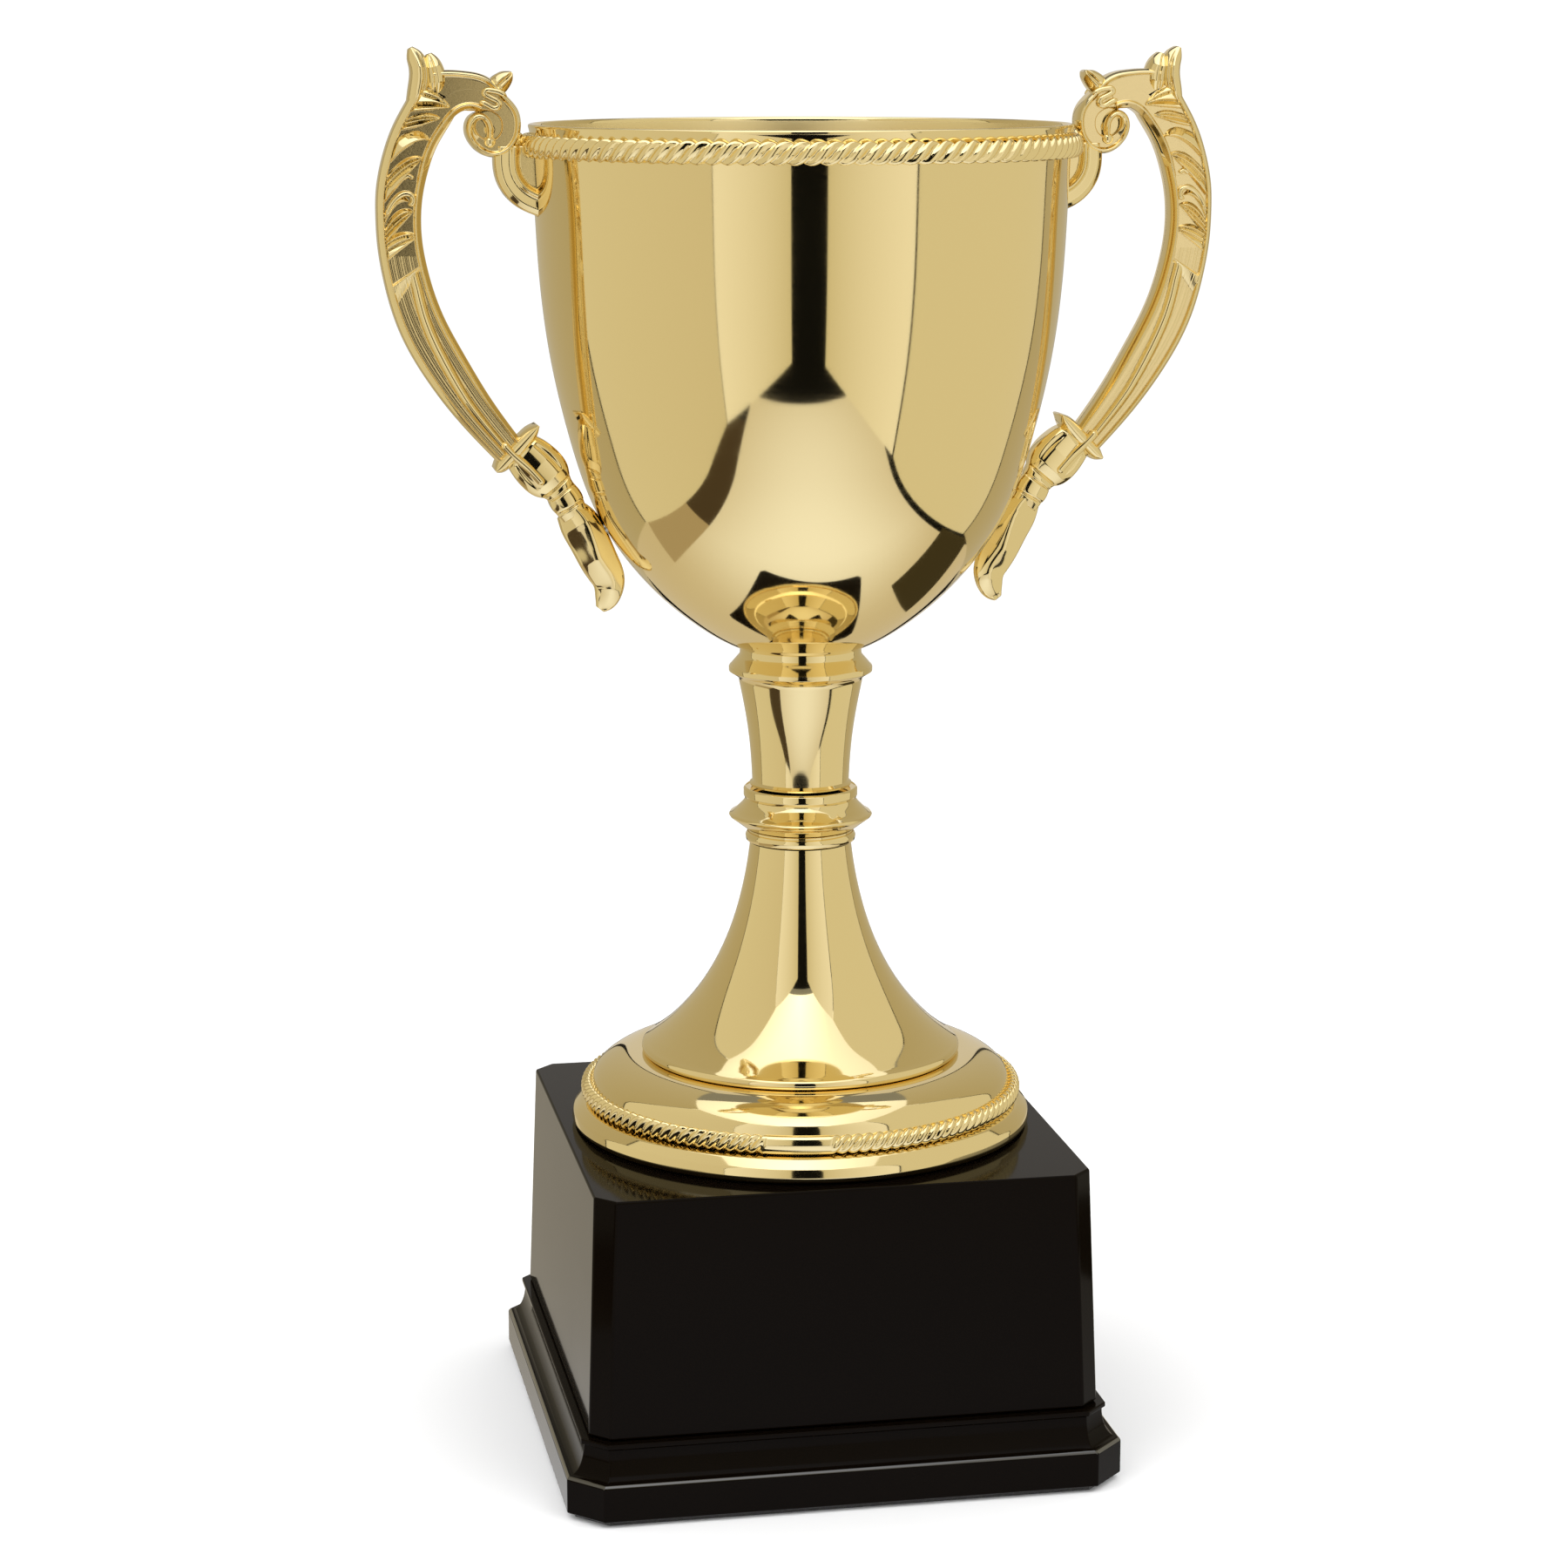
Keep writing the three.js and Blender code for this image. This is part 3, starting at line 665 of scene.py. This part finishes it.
def arm_relief(u, width, x, z, s):
    c = (1 - u) * ARM_WIDTH
    section = np.array(ARM_SECTION)
    depth = np.interp(c, section[:, 0], section[:, 1])
    inside = (c > FIELD_OUT - 0.01) & (c < FIELD_IN + 0.01)
    a = np.clip((FIELD_IN - c) / (FIELD_IN - FIELD_OUT), 0.0, 1.0)
    arch = np.clip((z - ARCH_FROM) / ARCH_BLEND, 0.0, 1.0) * (c > FIELD_IN)
    depth = depth * (1 - arch) + np.minimum(depth, FIELD_FLOOR - ARCH_SINK) * arch
    rise = np.zeros_like(c)
    for tip, at_tip, top_mid, top_out, low_mid, low_out, height in LOBES:
        top = crease(a, tip, at_tip + TIP_SPREAD, top_mid, top_out)
        low = crease(a, tip, at_tip - TIP_SPREAD, low_mid, low_out)
        q = np.clip((top - z) / np.maximum(top - low, 0.05), 0.0, 1.0)
        ends = np.clip((a - tip) * 7, 0, 1) ** 0.5 * np.clip((1.0 - a) / 0.05, 0, 1) ** 0.5
        wedge = q ** LOBE_CLIMB * np.clip((1 - q) / LOBE_DROP, 0.0, 1.0) ** 0.6
        rise = np.maximum(rise, LOBE_BOLD * height * wedge * ends)
    top = BLADE_TOP[0] + (BLADE_TOP[1] - BLADE_TOP[0]) * a
    low = BLADE_LOW[0] + (BLADE_LOW[1] - BLADE_LOW[0]) * a
    q = (top - z) / np.maximum(top - low, 0.05)
    facet = np.clip(q * 9, 0, 1) * np.clip(1 - q, 0, 1) ** 0.7 * FACET_RISE * (q > 0)
    ridge_line = np.array(RIDGE_AT)[::-1]
    across = np.abs(c - np.interp(z, ridge_line[:, 0], ridge_line[:, 1]))
    ridge = RIDGE_RISE * np.clip(1 - (across / RIDGE_HALF) ** 2, 0, 1) ** 0.8 * np.clip(q * 2.0, 0, 1)
    streaks = STREAK_DEPTH * np.sin(13.0 * c + 2.0 * np.sin(3.1 * c)) * np.clip(1 - ridge * 2, 0, 1)
    rise = np.maximum(rise, np.maximum(facet, ridge)) + streaks * (z < STREAKS_BELOW)
    satin = np.where(inside, np.clip(1 - rise / SATIN_FADE, 0, 1), 0.0)
    satin = np.where(c >= FIELD_IN, RAIL_SATIN, satin)
    return depth + np.where(inside, rise, 0.0), satin


# The opening's edge where the arm turns over into the bridge, from the arm up.
ARCH_EDGE = [(86.9, 294.5), (85.6, 300.3), (83.7, 304.9), (81.3, 308.5), (79.3, 310.9), (77.6, 312.0),
             (75.4, 312.2),
             (73.9, 311.7)]
ARCH_WIDTH = 4.6
# Half thickness against distance from the opening's edge.
ARCH_SECTION = [(0, 2.0), (0.08, 2.4), (0.22, 2.7), (0.85, 3.75), (1.0, 4.0), (1.3, 4.0), (1.5, 3.6),
                (1.68, 2.93)]
ARCH_FADE = 0.06


def arch_relief(u, width, x, z, s):
    edge = (1 - u) * width
    depth = np.interp(edge, *np.array(ARCH_SECTION).T)
    fade = np.clip(s / ARCH_FADE, 0, 1)
    return depth * fade + 2.0 * (1 - fade), np.where(edge > 1.6, 1.0, RAIL_SATIN)


def arm_columns():
    section = np.array(ARM_SECTION)[:, 0]
    field = np.linspace(FIELD_OUT, FIELD_IN, FIELD_COLUMNS)
    across = np.unique(np.r_[section[section <= FIELD_OUT], field, section[section >= FIELD_IN]]) / ARM_WIDTH
    return 1 - across[::-1]


SCROLL = [(84.0, 316.6, 8.6), (80.5, 316.7, 8.8), (77.0, 316.5, 8.7), (73.0, 315.8, 7.8), (69.4, 313.7, 5.0),
          (67.2, 311.3, 4.6), (66.7, 308.7, 4.4), (67.7, 305.6, 4.3), (70.9, 303.7, 3.9), (74.2, 305.0, 3.1),
          (75.9, 308.2, 2.4), (75.1, 310.4, 2.0), (73.7, 310.9, 1.7), (72.3, 310.0, 1.6), (71.6, 308.2, 1.6),
          (71.6, 306.2, 1.5), (71.7, 305.2, 1.2)]


def scroll_relief(u, width, x, z, s):
    outer, inner = u * width, (1 - u) * width
    wide = np.interp(outer, [0, 0.08, 0.3, 0.6, 0.95, 1.2, 1.4], [1.9, 2.5, 3.2, 3.85, 3.85, 3.4, 2.9])
    wide = np.minimum(wide, np.interp(inner, [0, 0.08, 0.35, 0.8], [2.2, 2.6, 3.0, 4.0]))
    round_one = 2.2 + 2.0 * np.sqrt(np.clip(1 - (2 * u - 1) ** 2, 0, 1))
    narrow = np.clip((2.9 - width) / 0.8, 0, 1)
    return wide * (1 - narrow) + round_one * narrow, np.clip((outer - 1.25) * 8, 0, 1) * (1 - narrow)


def disc(shells, x, z, radius, depth, rings=6, around=48):
    """A plain flat disc in the handle's plane, filling the middle of the volute."""
    r = np.linspace(0.4, radius, rings)[:, None]
    angle = (np.arange(around) * 2 * math.pi / around)[None, :]
    px, pz = x + r * np.cos(angle), z + r * np.sin(angle)
    front = np.stack([px, np.full_like(px, -depth), pz], -1)
    back = np.stack([px, np.full_like(px, depth), pz], -1)[::-1]
    faces = grid_faces(2 * rings, around, True, True)
    shells.add(np.concatenate([front, back]), faces, 0.6)


def finger(depth_foot, depth_tip, grooves, depth_end=2.5):
    """Relief of a rounded leaf finger with grooves at the given fractions across."""
    def relief(u, width, x, z, s):
        t = 2 * u - 1
        crown = np.interp(s, [0, 0.3, 0.65, 1.0], [depth_tip, depth_foot, depth_foot, depth_end])
        depth = crown * np.sqrt(np.clip(1 - 0.9 * t ** 2, 0, 1)) ** 0.8
        for at in grooves:
            depth = depth - 0.9 * np.exp(-((u - at) * width / 0.28) ** 2) * np.clip(s * 4, 0, 1)
        return np.maximum(depth, 0.4), 0.0
    return relief


OUTER_FINGER = [(88.9, 325.9, 1.3), (88.2, 324.6, 3.2), (87.3, 322.6, 4.1), (86.9, 320, 4.4),
                (87.3, 317.0, 4.4),
                (88.2, 314.0, 3.6), (89.5, 311.0, 2.0)]
INNER_FINGER = [(84.8, 324.6, 1.5), (84.4, 323.4, 3.2), (83.9, 321.5, 4.4), (83.5, 319.3, 4.8),
                (83.5, 317.2, 4.2),
                (83.8, 315.0, 2.4)]
HORN = [(70.6, 316.6, 4.2), (69.2, 317.9, 4.4), (67.9, 319.1, 3.7), (66.9, 320.1, 2.2), (66.5, 320.6, 0.8)]
CURL = [(67.8, 315.2), (69.5, 316.2), (71.3, 316.6), (72.4, 316.5), (72.7, 316.0), (72.1, 315.4),
        (70.7, 314.7),
        (69.6, 313.9), (69.6, 313.1), (70.4, 312.7), (71.7, 313.2), (73.1, 313.9), (73.8, 314.1)]
LEAF_CURL = [(95.2, 289.2), (94.1, 291.4), (92.2, 293.4), (90.3, 293.9), (89.2, 293.0), (89.3, 291.8),
             (90.2, 291.4)]
LEAF_TIP = [(91.3, 297.1), (90.2, 297.9), (89.1, 297.2)]


def pad(centre, edge, power):
    """Relief of a plain rounded pad."""
    def relief(u, width, x, z, s):
        t = np.abs(2 * u - 1)
        return edge + (centre - edge) * np.clip(1 - t ** power, 0, 1) ** 0.55, 0.0
    return relief


COLLAR_LEAF = [(61.6, 241.4, 0.8), (62.6, 240.2, 2.6), (64, 238.6, 3.5), (66.4, 236, 3.9), (69, 233.4, 3.5),
               (70.9, 231.6, 2.4), (71.5, 231.2, 1.2)]
BULB = [(66.2, 236.4, 8.0), (64.8, 235.0, 9.8), (63.2, 233.4, 11), (60, 230, 11.4), (58.2, 228.0, 9.6),
        (57.0, 226.6, 7.4), (56.4, 225.8, 7.2), (55.6, 224.6, 7.6), (54.8, 223.2, 7.6), (54.0, 221.8, 6.8),
        (53.2, 220.6, 6.4)]
RIB = [(70.0, 237.6), (67.2, 234.6), (64.2, 231.9), (61.8, 229.3), (60.6, 227.9)]
TAIL = [(54.6, 221.6, 6.6), (53.0, 219.6, 8.6), (50, 214.6, 9.4), (47.2, 208.8, 8.8), (45.4, 204.6, 7.6),
        (45.6, 201.6, 6.2), (46.6, 199.4, 4.4), (47.5, 198.2, 2.2)]
NECK_AT = 0.62


def bulb_relief(u, width, x, z, s):
    t = np.abs(2 * u - 1)
    crown = np.interp(s, [0, 0.1, 0.3, 0.5, NECK_AT, 0.72, 0.86, 1.0],
                      [3.2, 3.9, 4.3, 4.2, 3.3, 3.7, 3.7, 3.2])
    depth = 1.9 + (crown - 1.9) * np.clip(1 - t ** 2.2, 0, 1) ** 0.6
    oval = np.clip(1 - np.abs(s - 0.3) / 0.2, 0, 1) ** 0.5
    depth -= 0.55 * np.exp(-((t - 0.62) / 0.07) ** 2) * oval
    for ring in (NECK_AT, 0.71, 0.9):
        depth -= 0.45 * np.exp(-((s - ring) / 0.012) ** 2)
    return np.maximum(depth, 1.2), 0.0


def tail_relief(u, width, x, z, s):
    ridge = np.interp(s, [0, 0.2, 0.5, 0.75, 1.0], [0.30, 0.36, 0.52, 0.42, 0.5])
    crown = np.interp(s, [0, 0.15, 0.5, 0.8, 1.0], [3.3, 3.9, 3.5, 2.4, 0.9])
    side = np.where(u < ridge, (ridge - u) / ridge, (u - ridge) / (1 - ridge))
    depth = 1.2 + (crown - 1.2) * np.clip(1 - side ** 1.5, 0, 1)
    depth = depth * np.clip(np.minimum(u, 1 - u) * width / 0.5, 0.05, 1.0) ** 0.35
    return np.maximum(depth, 0.35), 0.0


LUG_OUTER = [(70.6, 304.2), (70.7, 300.0), (70.0, 296.4), (68.2, 293.2), (65.4, 290.6), (62.2, 289.0),
             (60.9, 288.5)]
LUG_INNER = [(60.8, 304.2), (60.5, 287.8)]
# Half thickness against distance from the lug's outer edge.
LUG_SECTION = [(0, 1.8), (0.1, 2.3), (0.35, 2.6), (1.3, 3.3), (1.5, 3.35), (3.4, 3.2), (3.7, 3.3), (4.1, 3.9),
               (4.5, 4.05), (4.9, 3.8), (5.3, 2.9), (5.5, 2.5)]
LUG_FIELD = 5.4             # farther in than this the lug is satin
VOLUTE = {"x": 71.6, "z": 307.9, "radius": 4.9, "depth": 1.7}
VOLUTE_BEAD = {"x": 71.7, "z": 305.2, "radius": 1.3}
VOLUTE_BEAD_OUT = 3.0
BRIDGE_KNOB = {"x": 65.8, "y": 0.0, "z": 305.4, "radius": 2.3, "rings": 14, "around": 28}


def lug(shells):
    rows = 60
    outer = spline(LUG_OUTER, rows)
    inner = np.linspace(LUG_INNER[0], LUG_INNER[1], rows)
    u = edge_columns(46, 1.5)[None, :, None]
    grid = inner[:, None, :] * u + outer[:, None, :] * (1 - u)
    x, z = grid[..., 0], grid[..., 1]
    fine = spline(LUG_OUTER, 400)
    d = np.sqrt(((grid[:, :, None, :] - fine[None, None]) ** 2).sum(-1)).min(2)
    depth = np.interp(d, *np.array(LUG_SECTION).T)
    two_sided(shells, x, z, depth, np.where(d > LUG_FIELD, 0.6, 0.0))


def handle(name, side):
    shells = Shells()
    sweep(shells, ARM, 760, arm_columns(), arm_relief)
    arch = offset(spline(ARCH_EDGE, 90), -ARCH_WIDTH / 2)
    sweep(shells, [(x, h, ARCH_WIDTH) for x, h in arch], 160, edge_columns(44, 1.6), arch_relief)
    sweep(shells, SCROLL, 300, edge_columns(40), scroll_relief)
    disc(shells, **VOLUTE)
    sweep(shells, OUTER_FINGER, 60, edge_columns(34), finger(4.3, 2.4, (0.32,)))
    sweep(shells, INNER_FINGER, 60, edge_columns(34), finger(4.2, 2.2, (0.55,)))
    sweep(shells, HORN, 60, edge_columns(30), finger(3.6, 3.2, (0.5,), 3.4))
    cord(shells, CURL, 3.4, 0.66, rows=140)
    cord(shells, LEAF_CURL, 3.8, 0.6, rows=80)
    cord(shells, LEAF_TIP, 3.3, 0.5, rows=30)
    for front in (-1, 1):
        ball(shells, y=front * VOLUTE_BEAD_OUT, **VOLUTE_BEAD)
    sweep(shells, COLLAR_LEAF, 70, edge_columns(22), pad(4.5, 1.6, 2.2))
    sweep(shells, BULB, 160, edge_columns(36), bulb_relief)
    cord(shells, RIB, 3.7, 1.0, around=20)
    sweep(shells, TAIL, 140, edge_columns(34), tail_relief)
    lug(shells)
    ball(shells, **BRIDGE_KNOB)
    return shells.build(name, side, MATERIALS["gold_casting"])


finish_piece(handle("handle_left_cast", -1), "handle_left")
finish_piece(handle("handle_right_cast", 1), "handle_right")

# ---------------------------------------------------------------- base


def octagon(half, cut):
    """Corners of a square with its corners cut off, anticlockwise from the right-hand side's front end."""
    a = half - cut
    return np.array([(half, -a), (half, a), (a, half), (-a, half),
                     (-half, a), (-half, -a), (-a, -half), (a, -half)])


SIDES = 8
BEVEL_SEGMENTS = 3
BEVEL_FROM = math.radians(20)     # edges sharper than this are rounded


def stack(name, rings, material, bevel, edge_rows=()):
    """Closed shell through a loop of (half, cut, height) octagons, with its edges rounded.

    edge_rows are the steps of the loop that have the brighter edge material, a painted highlight made by
    raising the plastic's specular and coat on those faces only.
    """
    points = np.vstack([np.c_[octagon(half, cut), np.full(SIDES, height)] for half, cut, height in rings])
    faces = grid_faces(len(rings), SIDES, True, True)
    piece = add_mesh(name, place(points), faces, material, sharp=30)
    piece.data.materials.append(PAINTED_HIGHLIGHT_EDGE)
    for row in edge_rows:
        for polygon in piece.data.polygons[row * SIDES:(row + 1) * SIDES]:
            polygon.material_index = 1
    rounding = piece.modifiers.new("rounding", "BEVEL")
    rounding.width = bevel * MM
    rounding.segments = BEVEL_SEGMENTS
    rounding.limit_method = "ANGLE"
    rounding.angle_limit = BEVEL_FROM
    rounding.harden_normals = True
    return piece


ROD_HOLE_CUT = ROD_HOLE * (1 - math.tan(math.pi / SIDES))
BLOCK = [(59.6, 4.4, 17.35), (57.6, 4.4, 73.0), (ROD_HOLE, ROD_HOLE_CUT, 73.0),
         (ROD_HOLE, ROD_HOLE_CUT, 69.5),
         (54.6, 3.0, 69.5), (56.6, 3.0, 17.35)]
BLOCK_BEVEL = 0.6
PLINTH_BEVEL = 0.3
COVE_STEPS = 12
COVE = {"half": 64.0, "in": 3.2, "low": 8.7, "up": 7.0, "cut": 7.4, "cut_in": 2.2}
# This row gets the painted highlight material, so the slab's top edge shows a bright line
SLAB_EDGE = 2               # the plinth's step along the top edge of its slab


def plinth_rings():
    rings = [(52, 2, 0.0), (65, 7.5, 0.0), (65, 7.5, 8.05), (64.45, 7.4, 8.65)]
    for k in range(COVE_STEPS + 1):
        t = k / COVE_STEPS * math.pi / 2
        half = COVE["half"] - COVE["in"] * math.sin(t)
        height = COVE["low"] + COVE["up"] * (1 - math.cos(t))
        cut = COVE["cut"] - COVE["cut_in"] * math.sin(t)
        rings.append((half, cut, height))
    rings += [(61.5, 5.4, 15.9), (61.5, 5.4, 17.05), (52, 2, 17.05)]
    return rings


block = stack("base_block_moulded", BLOCK, MATERIALS["black_gloss"], BLOCK_BEVEL)
finish_piece(block, "base_block")
plinth = stack("base_plinth_moulded", plinth_rings(), MATERIALS["black_gloss"], PLINTH_BEVEL, (SLAB_EDGE,))
finish_piece(plinth, "base_plinth")

# ---------------------------------------------------------------- floor, light and what the gold reflects


def glow_material():
    """Light given off in the colour held at each point of a card."""
    material = bpy.data.materials.new("card_glow")
    material.use_nodes = True
    tree = material.node_tree
    tree.nodes.clear()
    held = tree.nodes.new("ShaderNodeAttribute")
    held.attribute_name = "glow"
    glow = tree.nodes.new("ShaderNodeEmission")
    out = tree.nodes.new("ShaderNodeOutputMaterial")
    tree.links.new(held.outputs["Vector"], glow.inputs["Color"])
    tree.links.new(glow.outputs[0], out.inputs["Surface"])
    return material


GLOW = glow_material()


def card(name, corners, colours):
    """A glowing panel that only mirror-like surfaces see, from its corners in the studio."""
    points = [studio(*corner) for corner in corners]
    return glowing(name, points, [tuple(range(len(points)))], colours)


def glowing(name, points, faces, colours):
    piece = add_mesh(name, points, faces, GLOW)
    layer = piece.data.attributes.new("glow", "FLOAT_VECTOR", "POINT")
    layer.data.foreach_set("vector", np.asarray(colours, float).ravel())
    piece.visible_camera = False
    piece.visible_diffuse = False
    piece.visible_transmission = False
    piece.visible_volume_scatter = False
    piece.visible_shadow = False
    return piece


PANEL_LOW = -1.0
PANEL_HIGH = 660.0


def wall(name, start, end, from_colour, to_colour):
    """A panel standing between two places given as (right, toward)."""
    corners = [(*start, PANEL_LOW), (*end, PANEL_LOW), (*end, PANEL_HIGH), (*start, PANEL_HIGH)]
    return card(name, corners, [from_colour, to_colour, to_colour, from_colour])


CREAM = (0.92, 0.89, 0.82)
CREAM_SHADE = (0.66, 0.60, 0.44)
TAN = (0.72, 0.67, 0.52)
TAN_SHADE = (0.67, 0.61, 0.46)
REAR_WARM = (0.47, 0.41, 0.27)
REAR_MID = (0.52, 0.47, 0.36)
REAR_BACK = (0.66, 0.62, 0.56)

wall("panel_front_left", (-50, 690), (-270, 385), CREAM_SHADE, CREAM)
wall("panel_front_right", (122, 662), (295, 287), CREAM_SHADE, CREAM)
wall("panel_side_left", (-271, 383), (-325, -78), TAN_SHADE, TAN)
wall("panel_side_right", (297, 281), (304, -163), TAN, TAN)
wall("panel_rear_left", (-326, -84), (-150, -560), REAR_WARM, REAR_MID)
wall("panel_rear_right", (305, -170), (170, -560), REAR_WARM, REAR_MID)
wall("panel_rear", (-140, -560), (160, -560), REAR_BACK, REAR_BACK)

TABLE_Z = -2.0
TABLE_RIGHT = (-205, 280)
STRIP_LEFT = -330           # left edge of the strips beside the table
TABLE_TOWARD = (-420, 512)
TABLE_STEPS = 24
TABLE_SPOT = (25.0, 130.0)
TABLE_SPREAD = 280.0
TABLE_FALL = {"side": 1.15, "behind": 2.1, "before": 0.65}
TABLE_BRIGHT = (1.0, 1.02, 1.08)
TABLE_DIM = (0.62, 0.55, 0.42)


def table():
    """The table top: bright before the trophy, falling away warm towards its edges."""
    right = np.linspace(*TABLE_RIGHT, TABLE_STEPS)
    toward = np.linspace(*TABLE_TOWARD, TABLE_STEPS)
    points = [studio(r, w, TABLE_Z) for r in right for w in toward]
    along = np.array([w - TABLE_SPOT[1] for r in right for w in toward])
    aside = np.array([r - TABLE_SPOT[0] for r in right for w in toward]) * TABLE_FALL["side"]
    along = np.where(along < 0, along * TABLE_FALL["behind"], along * TABLE_FALL["before"])
    level = np.exp(-(aside ** 2 + along ** 2) / TABLE_SPREAD ** 2)[:, None]
    colours = np.array(TABLE_DIM) * (1 - level) + np.array(TABLE_BRIGHT) * level
    glowing("table", points, grid_faces(TABLE_STEPS, TABLE_STEPS, False, False), colours)


table()
BROWN = [(0.42, 0.34, 0.22)] * 4
SHADE = [(0.07, 0.05, 0.03)] * 4
DIM = [TABLE_DIM] * 4


def beside_table(name, near, far, colours):
    """A strip along the table's left edge, between two distances toward the camera."""
    corners = [(STRIP_LEFT, near), (TABLE_RIGHT[0], near), (TABLE_RIGHT[0], far), (STRIP_LEFT, far)]
    card(name, [(*corner, TABLE_Z) for corner in corners], colours)


beside_table("table_side_rear", -420, -70, DIM)
beside_table("table_side_middle", -70, 130, BROWN)
beside_table("table_side_front", 130, 420, SHADE)
OLIVE = [(0.05, 0.04, 0.02)] * 4
DARK_Z = -1.6
DARK_CORNERS = [(137, -29), (137, -224), (296, -224), (296, -29)]
card("table_dark", [(*corner, DARK_Z) for corner in DARK_CORNERS], OLIVE)
OVERHEAD_Z = 1150
OVERHEAD = [studio(right, toward, OVERHEAD_Z) for toward in (-600, 1000) for right in (-640, 0, 640)]
OVERHEAD_LEVELS = [[level] * 3 for level in (1.0, 1.4, 1.0, 1.15, 2.1, 1.15)]
glowing("overhead", OVERHEAD, [(0, 1, 4, 3), (1, 2, 5, 4)], OVERHEAD_LEVELS)


ROOM_CEILING, ROOM_WALL = 0.25, 0.006


def room():
    """A dark grey box round everything, seen only in reflections, so no gap shows the bright surround."""
    half, low, high = 2500.0, -30.0, 2500.0
    square = ((-half, -half), (half, -half), (half, half), (-half, half))
    c = [(x, y, z) for z in (low, high) for x, y in square]
    floor_face, ceiling_face = (0, 1, 2, 3), (4, 5, 6, 7)
    wall_faces = [(0, 1, 5, 4), (1, 2, 6, 5), (2, 3, 7, 6), (3, 0, 4, 7)]
    for k, face in enumerate([floor_face, ceiling_face, *wall_faces]):
        level = ROOM_CEILING if face == ceiling_face else ROOM_WALL
        card(f"room_{k}", [c[i] for i in face], [(level, level, level)] * 4)


room()

FLOOR_SIZE = 40.0


def floor():
    s = FLOOR_SIZE
    n = Nodes("floor_paint")
    mottle = n.noise(3.0, 2.0)
    paint = n.set(base=n.mix(mottle, (0.86, 0.86, 0.86), (0.88, 0.88, 0.88)), rough=0.9, specular=0.0)
    piece = add_mesh("floor", [(-s, -s, 0), (s, -s, 0), (s, s, 0), (-s, s, 0)], [(0, 1, 2, 3)], paint)
    piece.visible_glossy = False


floor()


LIGHT_AIM = Vector((0.0, 0.0, 0.15))


def area_light(name, right, toward, height, size, power):
    data = bpy.data.lights.new(name, "AREA")
    data.shape = "DISK"
    data.size = size
    data.energy = power
    light = bpy.data.objects.new(name, data)
    light.location = Vector(studio(right, toward, height))
    aim = LIGHT_AIM - light.location
    light.rotation_euler = aim.to_track_quat("-Z", "Y").to_euler()
    light.visible_glossy = False
    light.visible_camera = False
    bpy.context.scene.collection.objects.link(light)


area_light("key_left", right=-900, toward=700, height=1300, size=1.2, power=9.0)
area_light("key_right", right=900, toward=600, height=1300, size=1.2, power=7.0)


SURROUND_STRENGTH = 1.2


def surround():
    world = bpy.data.worlds.new("surround")
    world.use_nodes = True
    background = world.node_tree.nodes["Background"]
    background.inputs["Color"].default_value = (1.0, 1.0, 1.0, 1.0)
    background.inputs["Strength"].default_value = SURROUND_STRENGTH
    bpy.context.scene.world = world


surround()

scene = bpy.context.scene
scene.view_settings.view_transform = "Standard"
scene.view_settings.look = "None"
